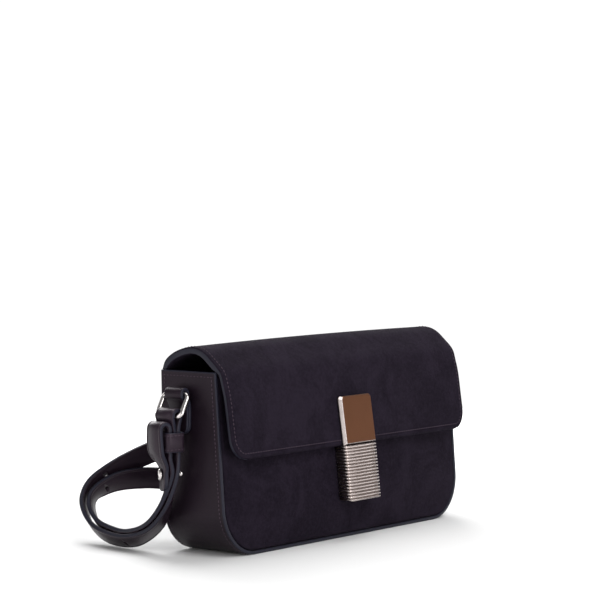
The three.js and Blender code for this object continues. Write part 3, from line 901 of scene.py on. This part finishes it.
def flap_rows(size):
    """Rows of the flap: outer point, inward direction, distance to its edge, wall and crown."""
    profile = flap_points(size)
    step = (profile[1] - profile[0]).length
    rows = []
    for i, point in enumerate(profile):
        before = profile[max(i - 1, 0)]
        after = profile[min(i + 1, len(profile) - 1)]
        along = (after - before).normalized()
        lift = max(point.z - size.height, 0) / size.flap_rise
        rows.append(
            {
                "outer": point,
                "inward": Vector((0, -along.z, along.y)),
                "edge": (len(profile) - 1 - i) * step,
                "wall": size.flap_wall + ARCH_SWELL * min(1, 3 * lift),
                "crown": ARCH_CROWN * lift,
            }
        )
    return rows


def flap_half(size, distance, inset=0.0):
    """Half the flap's width at a distance from its lower edge, set in from the outline."""
    half = size.width / 2 - FLAP_INSET - inset
    return corner_half(half, max(size.flap_corner - inset, 0.002), distance - inset)


def build_back_and_flap(size, colours):
    """One suede piece: the back, the arch and the flap."""
    forwards = Vector((0, -1, 0))
    rows = [
        {
            "outer": Vector((0, back_at(size, z), z)),
            "inward": forwards,
            "half": panel_half(size, z),
            "wall": PANEL_WALL,
            "crown": 0.0,
            "edge": z - PANEL_INSET,
        }
        for z in panel_heights(size)[:-1]
    ]
    flap = [{**row, "half": flap_half(size, row["edge"])} for row in flap_rows(size)]
    flap[0]["outer"] = flap[0]["outer"] + Vector((0, 0, SEAT))
    flap[0]["inward"] = forwards
    rows += flap

    def grid(inside):
        made = []
        for row in rows:
            line = []
            for share in spread():
                x = share * row["half"]
                fall = rolled(min(row["half"] - abs(x), row["edge"]), FLAP_ROLL)
                shift = row["wall"] - 0.5 * fall if inside else fall
                place = row["outer"] + row["inward"] * shift
                crown = row["crown"] * (1 - share * share)
                line.append(Vector((x, place.y, place.z + crown)))
            made.append(line)
        return made

    made = sheet(
        "bag_back_and_flap",
        grid(False),
        grid(True),
        [suede(colours), edge_paint(colours), suede(colours)],
    )
    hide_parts("back_and_flap")
    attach(made, "root")


def gusset_lines(size):
    """Lines for the stitches along both edges and the upper ends of the gusset."""
    path = [(x, max(z, 0.4 * size.thread)) for x, z in gusset_path(size, -STITCH_PROUD)]
    top = size.height - STITCH_INSET

    def near(z):
        return front_at(size, z) + STITCH_INSET

    def far(z):
        return back_at(size, z) - STITCH_INSET

    lines = [[Vector((x, edge(z), z)) for x, z in path if z < top] for edge in (near, far)]
    for x in (path[0][0], path[-1][0]):
        lines.append([Vector((x, mix(near(top), far(top), k / 8), top)) for k in range(9)])
    return lines


def flap_lines(size):
    """The line for the stitches round the sides and the lower edge of the flap."""
    sides = []
    for row in flap_rows(size):
        if row["edge"] < STITCH_INSET:
            continue
        x = flap_half(size, row["edge"], STITCH_INSET)
        crown = row["crown"] * (1 - (x / (size.width / 2)) ** 2)
        place = row["outer"] - row["inward"] * STITCH_PROUD + Vector((0, 0, crown))
        sides.append((x, place))
    left = [Vector((-x, p.y, p.z)) for x, p in sides]
    right = [Vector((x, p.y, p.z)) for x, p in reversed(sides)]
    return [left + right]


# The clasp

PLATE = {"wall": 0.003, "bevel": 0.0017, "rim": 0.0008, "lip": 0.0011}
PLATE_CORNERS = {"foot": (0.0019, 0.0005), "face": (0.0022, 0.0003)}

# The facing's rings: level over the plate's face, and how far each stands in from the plate's
# bevel at the left, and from its right, low and high edges
FACING_ROWS = [
    {"level": -0.0012, "sides": (0.0001, 0.0002), "ends": (0.0012, 0.0002), "corner": 0.0025},
    {"level": -0.0004, "sides": (0.0001, 0.0003), "ends": (0.0012, 0.0002), "corner": 0.0025},
    {"level": 0.0001, "sides": (0.0003, 0.0010), "ends": (0.0014, 0.0009), "corner": 0.0020},
]
FACING_LOW_CORNER = 0.0003

# The block. Its ribs' half height, the first rib's distance from its top and how far its core
# ends short of it are in pitches.
BLOCK = {"lean": 0.118, "bevel": 0.0007, "groove": 0.0009, "margin": 0.0002, "corner": 0.0026}
RIB = {"half": 0.33, "first": 0.36, "corner": 0.0032}
CORE_END = 0.2


def clasp_frame(size):
    """Where the clasp's plate lies: its lower edge on the flap, up its slope and out of it."""
    low, high = (flap_front(size, row) for row in (FRONT_ROWS[-1], FRONT_ROWS[-2]))
    up = (high - low).normalized()
    return low, up, Vector((0, -up.z, up.y))


def plate_ring(size, level, sides, ends, corners):
    """A ring round the clasp's plate at a level out of the flap.

    sides and ends set it in at the left and right, and at the low and high end. corners are the
    radii of its upper and its lower corners.
    """
    foot, up, out = clasp_frame(size)
    width, height = size.clasp_width - sum(sides), size.clasp_height - sum(ends)
    across = Vector(((sides[0] - sides[1]) / 2, 0, 0))
    centre = foot + up * (ends[0] + height / 2) + across + out * level
    outline = rounded_rectangle(width, height, corners[0], 8, corners[1])
    return [centre + Vector((x, 0, 0)) + up * y for x, y in outline]


def build_clasp_plate(size, colours):
    """The bevelled plate on the flap, and its bronze facing, which runs over the top edge."""
    bevel, rim = PLATE["bevel"], PLATE["rim"]
    face = SEAT + PLATE["wall"]
    shoulder = face - bevel
    _foot, up, _out = clasp_frame(size)
    slope = up.y / up.z
    level = -face * slope
    foot_corners, face_corners = PLATE_CORNERS["foot"], PLATE_CORNERS["face"]
    rings = [
        plate_ring(size, SEAT, (0, 0), (0, 0), foot_corners),
        plate_ring(size, shoulder, (0, 0), (-shoulder * slope, 0), foot_corners),
        plate_ring(size, face, (bevel, rim), (level + PLATE["lip"], rim), face_corners),
    ]
    plate = loft("clasp_plate_polished", rings, [plate_metal_with_painted_shade(colours)], smooth=False)
    soften(plate, 0.00035, 4, 25)
    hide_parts("clasp_plate")
    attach(plate, "root")

    rings = []
    for row in FACING_ROWS:
        sides = (bevel + row["sides"][0], row["sides"][1])
        ends = (level + row["ends"][0], row["ends"][1])
        corners = (row["corner"], FACING_LOW_CORNER)
        rings.append(plate_ring(size, face + row["level"], sides, ends, corners))
    facing = loft("clasp_facing_bronze", rings, [bronze_facing(colours)], smooth=False)
    soften(facing, 0.00015, 2, 10)
    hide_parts("clasp_facing")
    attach(facing, "root")


def block_face(size, z):
    """The face of the ribbed block at a height."""
    foot, up, _out = clasp_frame(size)
    slope = math.atan2(up.y, up.z)
    return foot.y - (SEAT + PLATE["wall"]) / math.cos(slope) - (foot.z - z) * BLOCK["lean"]


def block_ring(z, half, face, back):
    """The block's outline at one height."""
    bevel = BLOCK["bevel"]
    return [
        Vector((-half, back, z)),
        Vector((half, back, z)),
        Vector((half, face + bevel, z)),
        Vector((half - bevel, face, z)),
        Vector((bevel - half, face, z)),
        Vector((-half, face + bevel, z)),
    ]


def block_core(size, colours, top, half, pitch):
    """The block behind its ribs, as deep as the grooves between them."""
    groove, steps = BLOCK["groove"], 18
    rings = []
    for k in range(steps + 1):
        down = mix(CORE_END * pitch, size.block_height - CORE_END * pitch, k / steps)
        z = top - down
        narrow = corner_half(half, BLOCK["corner"], size.block_height - down + groove) - groove
        back = front_face(size, 0, z) - SEAT
        rings.append(block_ring(z, narrow, block_face(size, z) + groove, back))
    # The core is painted dark, as the shade in the grooves between the ribs
    metal = [groove_metal_with_painted_shade(colours)]
    return loft("clasp_block_core", rings, metal, smooth=False)


def one_rib(size, colours, top, half, pitch):
    """One rib: round in front, with its middle at no height."""
    groove, steps = BLOCK["groove"], 8
    back = front_face(size, 0, top) - SEAT - block_face(size, top)
    rings = []
    for k in range(steps + 1):
        angle = mix(-math.pi / 2, math.pi / 2, k / steps)
        up = RIB["half"] * pitch * math.sin(angle)
        out = groove * (math.cos(angle) ** 0.25 if 0 < k < steps else 0.0)
        outline = block_ring(0, half - groove + out, groove - out, back)
        rings.append([Vector((p.x, p.y, up)) for p in outline])
    return loft("clasp_rib", rings, [ribbed_metal_painted_shade_and_reflection(colours)])


def block_ribs(size, colours, top, half, pitch):
    """The ribs down the block's leaning face, trimmed to its rounded lower corners."""
    foot = top - size.block_height
    ends = (top - RIB["first"] * pitch, foot + RIB["first"] * pitch)
    rib = one_rib(size, colours, top, half, pitch)
    mesh = ribs_down().mesh(
        [[(0, block_face(size, z), z) for z in ends]],
        Count=size.rib_count,
        Rib=rib,
        Material=ribbed_metal_painted_shade_and_reflection(colours),
    )
    bpy.data.objects.remove(rib)
    ribs = linked("clasp_block_ribs", mesh)
    above = 0.006
    middle = foot + size.block_height / 2 + above / 2
    width = 2 * half + 0.0002
    outline = rounded_rectangle(width, size.block_height + above, RIB["corner"], 8)
    rings = [[Vector((x, y, middle + z)) for x, z in outline] for y in (-0.06, 0.0)]
    carve(ribs, "INTERSECT", "EXACT", [loft("corner_cutter", rings, [])])
    return ribs


def build_clasp_block(size, colours):
    """The block on the front: a core, and ribs spaced down its leaning face."""
    top = size.height - size.flap_drop - SEAT
    half = size.clasp_width / 2 - BLOCK["margin"]
    pitch = size.block_height / size.rib_count
    for part in (block_core, block_ribs):
        made = part(size, colours, top, half, pitch)
        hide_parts("clasp_block")
        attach(made, "root")


# Tabs and rings

RING = {"wire": 0.0032, "inside": 0.0154, "span": 0.015, "tilt": 30, "corner": 0.0034}
TAB = {
    "width": 0.014,
    "wall": 0.0021,
    "height": 0.0245,
    "corner": 0.005,
    "centre": 0.009,
    "top": 0.0989,
}
BAR_RADIUS = RING["wire"] / 2 + SEAT
ROLL_RADIUS = BAR_RADIUS + TAB["wall"]
ROLL_STANDS_OFF = 0.0016
BAR_OUT = SEAT + ROLL_RADIUS + ROLL_STANDS_OFF


def at_end(size, direction, out, y, z):
    """A place at one end of the bag, out being away from the gusset."""
    return Vector((direction * (size.width / 2 + out), TAB["centre"] + y, z))


def tab_line():
    """Even points along a tab: up the gusset, round the ring's bar and down over itself."""
    wall, top = TAB["wall"], TAB["top"]
    bottom = top - TAB["height"]
    radius = BAR_RADIUS + wall / 2
    ease = 0.00005
    inner, outer = SEAT + wall / 2, SEAT + 1.5 * wall + ease
    line = [(inner, bottom), (inner, mix(bottom, top, 0.35)), (inner, top - 2.1 * ROLL_RADIUS)]
    steps, leave, meet = 12, 205, -62
    for k in range(steps + 1):
        angle = math.radians(mix(leave, meet, k / steps))
        line.append((BAR_OUT + radius * math.cos(angle), top + radius * math.sin(angle)))
    line += [(outer, top - 2.3 * ROLL_RADIUS), (outer, mix(bottom, top, 0.3)), (outer, bottom)]
    return Route([(x, 0, z) for x, z in line]).even(90)


def build_tab(size, colours, side, direction):
    """A tab's strip, with round ends and painted edges."""
    points = tab_line()
    steps = len(points) - 1
    run = sum((b - a).length for a, b in zip(points, points[1:]))
    corner_steps = 3
    sections = []
    for i, point in enumerate(points):
        before, after = points[max(i - 1, 0)], points[min(i + 1, steps)]
        along = (after - before).normalized()
        through = Vector((-along.z, 0, along.x))
        left = min(i, steps - i) / steps * run
        half = corner_half(TAB["width"] / 2, TAB["corner"], left)
        outline = rounded_rectangle(2 * half, TAB["wall"], min(0.0007, half * 0.4), corner_steps)
        places = [(y, point + through * t) for y, t in outline]
        sections.append([at_end(size, direction, p.x, y, p.z) for y, p in places])
    made = loft(
        f"tab_{side}_leather",
        sections,
        [smooth_leather(colours), edge_paint(colours)],
        edge_kinds(len(sections[0]), corner_steps),
    )
    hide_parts(f"tab_{side}")
    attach(made, "root")


def edge_kinds(ring, steps):
    """Materials round a strip's section: 0 on its broad faces, 1 on its edges and corners."""
    kinds = []
    for j in range(ring):
        quarter, k = divmod(j, steps + 1)
        broad = k == steps and quarter in (0, 2)
        kinds.append(0 if broad else 1)
    return kinds


def build_ring(size, colours, side, direction):
    """A rectangular wire ring hanging from its tab."""
    width = RING["inside"] + RING["wire"]
    path = rounded_rectangle(width, RING["span"], RING["corner"], 10)
    tilt = math.radians(RING["tilt"])
    sections = []
    for i, (y, z) in enumerate(path):
        ay, az = path[i - 1]
        by, bz = path[(i + 1) % len(path)]
        outward = Vector((0, bz - az, ay - by)).normalized()
        centre = Vector((0, y, z - RING["span"] / 2))
        section = []
        for p in circle(centre, outward, Vector((1, 0, 0)), RING["wire"] / 2, 18):
            out = p.x * math.cos(tilt) - p.z * math.sin(tilt)
            up = p.x * math.sin(tilt) + p.z * math.cos(tilt)
            section.append(at_end(size, direction, BAR_OUT + out, p.y, TAB["top"] + up))
        sections.append(section)
    metal = [polished_metal(colours)]
    made = loft(f"ring_{side}_polished", sections, metal, closed=True)
    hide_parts(f"ring_{side}")
    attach(made, "root")


# The strap

# The keeper, and the free end: its fold's radius and height, the layer that it lies in at the
# stud, how far the keeper pulls it in, how far it hangs below the stud and its round corners
KEEPER = {
    "height": 0.012,
    "wall": 0.0015,
    "top": 0.0765,
    "turn": 15,
    "inward": 0.0035,
    "neck": 0.003,
    "slack": 0.0005,
    "corner": 0.0016,
}
TAIL = {
    "radius": 0.0034,
    "top": 0.0785,
    "layer": 2.15,
    "pull": 0.91,
    "end": 0.010,
    "corner": 0.0055,
}
FOLD_EASE = 0.0004

# Radii of the cutters of the holes, and of the hole for the stud's post
HOLE_RADIUS = 0.0012
POST_HOLE_RADIUS = 0.0016

# The stud's outline: radii, and heights over the underside of its head and over its base
STUD_HEAD = 0.007
HEAD_ROWS = [
    (0.0, 0.0017),
    (0.0016, 0.00165),
    (0.0028, 0.0014),
    (0.0034, 0.0009),
    (0.0035, 0.0004),
    (0.0033, 0.0),
    (0.0012, 0.0),
]
BASE_ROWS = [
    (0.0012, 0.0),
    (0.0025, 0.0),
    (0.0026, -0.0003),
    (0.0026, -0.0009),
    (0.0024, -0.0012),
    (0.0012, -0.0012),
    (0.0012, -0.0017),
    (0.0015, -0.0022),
    (0.0016, -0.0028),
    (0.0014, -0.0034),
    (0.0009, -0.0038),
    (0.0, -0.004),
]


def aim(turn, tilt):
    """The direction across the strap, from its turn and tilt in degrees."""
    turn, tilt = math.radians(turn), math.radians(tilt)
    level = math.cos(tilt)
    return Vector((-math.sin(turn) * level, -math.cos(turn) * level, math.sin(tilt)))


class Strap:
    """The strap's line and the places on it."""

    def __init__(self, size):
        self.size = size
        self.step = size.strap_wall + SEAT
        tilt = math.radians(RING["tilt"])
        out = size.width / 2 + BAR_OUT + RING["span"] * math.sin(tilt)
        down = RING["span"] * math.cos(tilt)
        self.bar = Vector((-out, TAB["centre"], TAB["top"] - down))
        self.fold = BAR_RADIUS + size.strap_wall / 2 + FOLD_EASE
        self.across = aim(KEEPER["turn"], 0)
        turn = math.radians(KEEPER["turn"])
        self.out = Vector((-math.cos(turn), math.sin(turn), 0))
        self.rows = [(self._outer(row), aim(row["turn"], row["tilt"])) for row in LOOP_ROWS]
        self.stud_across = self.rows[0][1]
        self.stud_out = Vector((0, 0, -1)).cross(self.stud_across).normalized()
        self.stations = self._stations()
        self.route = Route([at for at, _across in self.stations])
        self.aims = Route([across for _at, across in self.stations])

    def _outer(self, row):
        """A place of the loop's outer run."""
        depth, bar = self.size.depth_base, self.bar
        return Vector((bar.x - row["out"] * depth, bar.y + row["back"] * depth, row["up"] * bar.z))

    def stack(self, layer, z):
        """A place in the layers inside the keeper."""
        inmost = Vector((self.bar.x + KEEPER["inward"], self.bar.y, z))
        return inmost + self.out * (layer * self.step)

    def stud(self, layer):
        """A place on the stud's axis."""
        return self.rows[0][0] + self.stud_out * (layer * self.step)

    def _inner(self):
        """The loop's inner run, laid inside the outer one."""
        placed = []
        for i, ((at, across), row) in enumerate(zip(self.rows, LOOP_ROWS)):
            before = self.rows[max(i - 1, 0)][0]
            after = self.rows[min(i + 1, len(self.rows) - 1)][0]
            along = (after - before).normalized()
            flat = (across - along * across.dot(along)).normalized()
            inset, drop = row["inset"] * self.step, row["drop"] * self.size.strap_width
            placed.append((at + along.cross(flat) * inset - flat * drop, across))
        return placed

    def _middle(self, share):
        """A run's place behind the middle of the bag, upright against its back."""
        z = share * self.size.height
        y = back_at(self.size, z) + self.size.strap_wall / 2 + 2 * SEAT
        return Vector((0, y, z)), Vector((0, 0, 1))

    @staticmethod
    def _fold(centre, radius, across, out):
        """A half turn over the top of a centre, from its outer side to its inner one."""
        steps = 6
        turned = []
        for k in range(steps + 1):
            angle = k / steps * math.pi
            rise = Vector((0, 0, radius * math.sin(angle)))
            turned.append((centre + out * (radius * math.cos(angle)) + rise, across))
        return turned

    @staticmethod
    def _mirrored(stations):
        """The same stations at the other end of the bag."""
        return [(Vector((-a.x, a.y, a.z)), Vector((-c.x, c.y, c.z))) for a, c in stations]

    def _stations(self):
        """Places and directions across, from the end inside the keeper to the buttoned end."""
        across, top = self.across, KEEPER["top"]
        foot = top - KEEPER["height"]
        low = foot - KEEPER["neck"]
        fold = self._fold(self.bar, self.fold, aim(0, 0), Vector((-1, 0, 0)))
        short = [(self.stack(1, foot + 0.001), across), (self.stack(1, top), across)]
        neck = [(self.stack(0, top + KEEPER["neck"]), across), (self.stack(0, low), across)]
        outer = [*neck, *self.rows]
        inner_left, inner_right = (
            [*((self.stack(layer, z), across) for z in (top, foot, low)), *self._inner()]
            for layer in (2, LOOSE)
        )
        centre = self.stack(2, TAIL["top"]) + self.out * TAIL["radius"]
        tail = self._fold(centre, TAIL["radius"], across, self.out)
        end_layer = (2 + 2 * TAIL["radius"] / self.step) * TAIL["pull"]
        end = [(self.stack(end_layer, foot - 0.0005), across)]
        for up in (STUD_HEAD / 2, -TAIL["end"]):
            end.append((self.stud(TAIL["layer"]) + Vector((0, 0, up)), self.stud_across))
        return [
            *short,
            *fold,
            *outer,
            self._middle(MIDDLE_SHARES["outer"]),
            *self._mirrored(outer)[::-1],
            *self._mirrored(fold)[::-1],
            *self._mirrored(inner_right),
            self._middle(MIDDLE_SHARES["inner"]),
            *inner_left[::-1],
            *tail[::-1],
            *end,
        ]

    def frames(self):
        """Centre, and directions across and through, along the strap; closer at its free end."""
        pitch = 0.0022
        spans = len(self.stations) - 1
        placed = []
        for i in range(spans):
            gap = (self.stations[i + 1][0] - self.stations[i][0]).length
            steps = max(2, math.ceil(gap / pitch)) * (4 if i == spans - 1 else 1)
            placed += [(i + k / steps) / spans for k in range(steps)]
        made = []
        for share in [*placed, 1.0]:
            at, along, across = self.route.at(share), self.route.along(share), self.aims.at(share)
            across = (across - along * across.dot(along)).normalized()
            made.append((at, across, along.cross(across)))
        return made


def strap_section(size):
    """The strap's section, rounded and with a crease near each edge, and its materials."""
    half, wall = size.strap_width / 2, size.strap_wall / 2
    crease = half - 0.0016
    depth, width = 0.00022, 0.00035
    side = [(0.0005 - half, wall), (-crease - width, wall)]
    side += [(-crease, wall - depth), (width - crease, wall)]
    face = [*side, (0.0, wall), *((-x, t) for x, t in reversed(side))]
    shoulder = half - 0.00012
    edge = [(shoulder, wall - 0.0004), (half, wall * 0.4)]
    edge += [(x, -t) for x, t in reversed(edge)]
    top = face + edge
    kinds = ([0] * len(face) + [1] * (len(edge) - 1) + [0]) * 2
    return top + [(-x, -t) for x, t in top], kinds


def build_strap(size, colours):
    """The whole strap, swept along its line, with its holes cut."""
    strap = Strap(size)
    outline, kinds = strap_section(size)
    frames = strap.frames()
    runs = [0.0]
    for before, after in zip(frames, frames[1:]):
        runs.append(runs[-1] + (after[0] - before[0]).length)
    half = size.strap_width / 2
    sections = []
    for (at, across, through), run in zip(frames, runs):
        narrow = corner_half(half, TAIL["corner"], runs[-1] - run) / half
        sections.append([at + across * x * narrow + through * t for x, t in outline])
    made = loft(
        "strap_leather",
        sections,
        [strap_leather(colours), edge_paint(colours)],
        kinds,
    )
    cutters = []
    for share in HOLE_SHARES:
        at, _across, through = next(f for f, run in zip(frames, runs) if run >= share * runs[-1])
        cutters.append(rod("hole_cutter", HOLE_RADIUS, 1.6 * size.strap_wall, at, through))
    among = strap.stud(1.1)
    cutters.append(rod("stud_cutter", POST_HOLE_RADIUS, 4 * strap.step, among, strap.stud_out))
    carve(made, "DIFFERENCE", "MANIFOLD", cutters)
    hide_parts("strap")
    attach(made, "root")


def rod(name, radius, height, at, direction):
    """A plain cylinder along a direction."""
    side = direction.orthogonal().normalized()
    other = direction.cross(side)
    ends = [at + direction * (height * end) for end in (-0.5, 0.5)]
    return loft(name, [circle(end, side, other, radius, 20) for end in ends], [])


def build_keeper(size, colours):
    """The loop round the strap's layers, and the lines for its stitches."""
    strap = Strap(size)
    wall, height = KEEPER["wall"], KEEPER["height"]
    inside_width = size.strap_width + 2 * KEEPER["slack"]
    inside_depth = 3 * strap.step + 2 * KEEPER["slack"]
    foot = KEEPER["top"] - height

    def ring(grow, up):
        centre = strap.stack(1, foot + up)
        width, depth = inside_width + 2 * grow, inside_depth + 2 * grow
        outline = rounded_rectangle(depth, width, KEEPER["corner"] + grow, 6)
        return [centre + strap.out * x + strap.across * y for x, y in outline]

    profile = [(0.0, 0.0004), (0.0003, 0.0), (wall - 0.0004, 0.0), (wall, 0.0004)]
    profile += [(grow, height - up) for grow, up in reversed(profile)]
    made = loft(
        "keeper_leather",
        list(zip(*(ring(grow, up) for grow, up in profile))),
        [strap_leather(colours), edge_paint(colours)],
        [1, 1, 1, 0] * 2,
        closed=True,
    )
    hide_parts("keeper")
    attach(made, "root")
    lines = [ring(wall + STITCH_PROUD, up) for up in (0.0018, height - 0.0018)]
    return [[*line, line[0]] for line in lines]


def build_stud(size, colours):
    """The screw stud: head, post, base and knob."""
    strap = Strap(size)
    under_head = TAIL["layer"] * strap.step + size.strap_wall / 2 + SEAT
    base = -0.5 * strap.step
    profile = [(r, under_head + h) for r, h in HEAD_ROWS] + [(r, base + h) for r, h in BASE_ROWS]
    axis, side = strap.stud_out, strap.stud_across
    other = axis.cross(side)
    sides = 28
    rings = [circle(strap.stud(0) + axis * h, side, other, r, sides) for r, h in profile]
    points = [rings[0][0], *(p for ring in rings[1:-1] for p in ring), rings[-1][0]]
    faces = [(0, 1 + k, 1 + (k + 1) % sides) for k in range(sides)]
    for i in range(len(rings) - 3):
        for k in range(sides):
            a, b = 1 + i * sides + k, 1 + i * sides + (k + 1) % sides
            faces.append((a, b, b + sides, a + sides))
    last = len(points) - 1
    start = last - sides
    faces += [(last, start + (k + 1) % sides, start + k) for k in range(sides)]
    made = piece("stud_polished", points, faces, [polished_metal(colours)])
    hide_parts("stud")
    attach(made, "root")


# The stage

FLOOR_RADIUS = 0.85
# The floor's grey by distance from the bag: greyer near it as painted shade, paler far off as
# painted light
FLOOR_PAINTED_SHADE = [(0.24, 0.68), (0.42, 0.94)]
SKY_SHADES = [(0.0, 1.0), (0.07, 1.0), (0.14, 0.34), (1.0, 0.2)]
SKY_STRENGTH = 1.06
MIDDLE = (0, 0, 0.06)
LAMPS = [
    {"name": "key", "at": (-0.3, -1.4, 1.5), "aim": MIDDLE, "size": 1.5, "power": 29},
    {"name": "fill", "at": (-1.7, 0.1, 0.6), "aim": MIDDLE, "size": 1.1, "power": 6},
    {"name": "top", "at": (0.7, 0.35, 1.8), "aim": MIDDLE, "size": 1.7, "power": 36},
    {"name": "back", "at": (1.0, 1.5, 1.2), "aim": MIDDLE, "size": 1.5, "power": 36},
    {"name": "low", "at": (-0.3, -0.9, 0.06), "aim": (0, 0, 0.02), "size": 0.5, "power": 3.2},
]
CAMERA = {
    "azimuth": -52.46881117,
    "elevation": 3.02884497,
    "at": (-1.28063, -0.96820, 0.23549),
    "lens": 150,
    "sensor": 36,
}


def build_floor():
    """A round floor of pale paper, which fades to white away from the bag."""
    paper = Finish("Pale paper", Roughness=0.85, Specular_IOR_Level=0.2)
    away = paper.add("ShaderNodeVectorMath", {"operation": "LENGTH"}, {0: paper.place}, output=1)
    paper.feed("Base Color", paper.ramp(away, *FLOOR_PAINTED_SHADE))
    rim = circle(Vector(), Vector((1, 0, 0)), Vector((0, 1, 0)), FLOOR_RADIUS, 96)
    mesh = bpy.data.meshes.new("floor")
    mesh.from_pydata(rim, [], [tuple(range(len(rim)))])
    mesh.materials.append(paper.material)
    linked("floor", mesh)


def build_sky(scene):
    """A pale room: white at the level of the floor and grey overhead."""
    scene.world = scene.world or bpy.data.worlds.new("Studio")
    scene.world.use_nodes = True
    sky = Graph(scene.world.node_tree)
    direction = sky.add("ShaderNodeTexCoord", output="Generated")
    height = sky.add("ShaderNodeSeparateXYZ", inputs={"Vector": direction}, output="Z")
    dome = sky.add("ShaderNodeValToRGB", {"stops": SKY_SHADES}, {"Fac": height})
    background = sky.tree.nodes["Background"]
    sky.join(dome, background.inputs["Color"])
    background.inputs["Strength"].default_value = SKY_STRENGTH


def build_lamps():
    """Soft square lamps round the bag, which the camera doesn't see."""
    for row in LAMPS:
        light = bpy.data.lights.new(row["name"], "AREA")
        light.size = row["size"]
        light.energy = row["power"]
        lamp = linked(row["name"], light)
        lamp.location = row["at"]
        toward = Vector(row["aim"]) - Vector(row["at"])
        lamp.rotation_euler = toward.to_track_quat("-Z", "Y").to_euler()
        lamp.visible_camera = False


def build_camera(scene):
    """The camera at the photograph's angle."""
    azimuth, elevation = math.radians(CAMERA["azimuth"]), math.radians(CAMERA["elevation"])
    level = math.cos(elevation)
    back = Vector((math.sin(azimuth) * level, -math.cos(azimuth) * level, math.sin(elevation)))
    right = Vector((math.cos(azimuth), math.sin(azimuth), 0))
    turn = Matrix((right, back.cross(right), back)).transposed().to_4x4()
    view = bpy.data.cameras.new("camera")
    view.lens = CAMERA["lens"]
    view.sensor_width = CAMERA["sensor"]
    view.clip_start, view.clip_end = 0.05, 30
    scene.camera = linked("camera", view)
    scene.camera.matrix_world = Matrix.Translation(CAMERA["at"]) @ turn


def build_stage():
    """Floor, light and camera."""
    scene = bpy.context.scene
    scene.view_settings.view_transform = "Standard"
    build_floor()
    build_sky(scene)
    build_lamps()
    build_camera(scene)


# Operators


def settings(context):
    """The sizes and the colours that are set in the scene."""
    return context.scene.bag_sizes, context.scene.bag_colours


class BAG_OT_body(bpy.types.Operator):
    """Build the gusset, the front, the back and the flap"""

    bl_idname = "bag.body"
    bl_label = "Body"

    def execute(self, context):
        size, colours = settings(context)
        build_gusset(size, colours)
        build_front(size, colours)
        build_back_and_flap(size, colours)
        return {"FINISHED"}


class BAG_OT_clasp(bpy.types.Operator):
    """Build the clasp's plate, facing and ribbed block"""

    bl_idname = "bag.clasp"
    bl_label = "Clasp"

    def execute(self, context):
        size, colours = settings(context)
        build_clasp_plate(size, colours)
        build_clasp_block(size, colours)
        return {"FINISHED"}


class BAG_OT_ends(bpy.types.Operator):
    """Build the tab and the ring at each end"""

    bl_idname = "bag.ends"
    bl_label = "Tabs and rings"

    def execute(self, context):
        size, colours = settings(context)
        for side, direction in (("left", -1), ("right", 1)):
            build_tab(size, colours, side, direction)
            build_ring(size, colours, side, direction)
        return {"FINISHED"}


class BAG_OT_strap(bpy.types.Operator):
    """Build the strap, its keeper and its stud"""

    bl_idname = "bag.strap"
    bl_label = "Strap"

    def execute(self, context):
        size, colours = settings(context)
        build_strap(size, colours)
        stitched("keeper_stitches", build_keeper(size, colours), size, colours)
        build_stud(size, colours)
        return {"FINISHED"}


class BAG_OT_stitching(bpy.types.Operator):
    """Sew the gusset and the flap"""

    bl_idname = "bag.stitching"
    bl_label = "Stitching"

    def execute(self, context):
        size, colours = settings(context)
        stitched("gusset_stitches", gusset_lines(size), size, colours)
        stitched("flap_stitches", flap_lines(size), size, colours)
        return {"FINISHED"}


class BAG_OT_stage(bpy.types.Operator):
    """Set up the floor, the light and the camera"""

    bl_idname = "bag.stage"
    bl_label = "Stage"

    def execute(self, context):
        build_stage()
        return {"FINISHED"}


OPERATORS = (
    BAG_OT_body,
    BAG_OT_clasp,
    BAG_OT_ends,
    BAG_OT_strap,
    BAG_OT_stitching,
    BAG_OT_stage,
)


class BAG_PT_panel(bpy.types.Panel):
    """Sizes, colours and the pieces of the bag"""

    bl_label = "Baguette Bag"
    bl_idname = "BAG_PT_panel"
    bl_space_type = "VIEW_3D"
    bl_region_type = "UI"
    bl_category = "Bag"

    def draw(self, context):
        """Lists the settings and the operators."""
        for group in settings(context):
            box = self.layout.box()
            for name in group.__annotations__:
                box.prop(group, name)
        for operator in OPERATORS:
            self.layout.operator(operator.bl_idname)


CLASSES = (BagSizes, BagColours, *OPERATORS, BAG_PT_panel)


def register():
    """Adds the classes and the scene's settings."""
    for cls in CLASSES:
        bpy.utils.register_class(cls)
    bpy.types.Scene.bag_sizes = PointerProperty(type=BagSizes)
    bpy.types.Scene.bag_colours = PointerProperty(type=BagColours)


def unregister():
    """Takes the settings and the classes away again."""
    del bpy.types.Scene.bag_colours
    del bpy.types.Scene.bag_sizes
    for cls in reversed(CLASSES):
        bpy.utils.unregister_class(cls)


def main():
    """Registers the add-on, builds every piece and writes the sizes."""
    register()
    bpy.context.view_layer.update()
    bpy.ops.bag.body()
    bpy.ops.bag.clasp()
    bpy.ops.bag.ends()
    bpy.ops.bag.strap()
    bpy.ops.bag.stitching()
    bpy.ops.bag.stage()


if __name__ == "__main__":
    main()
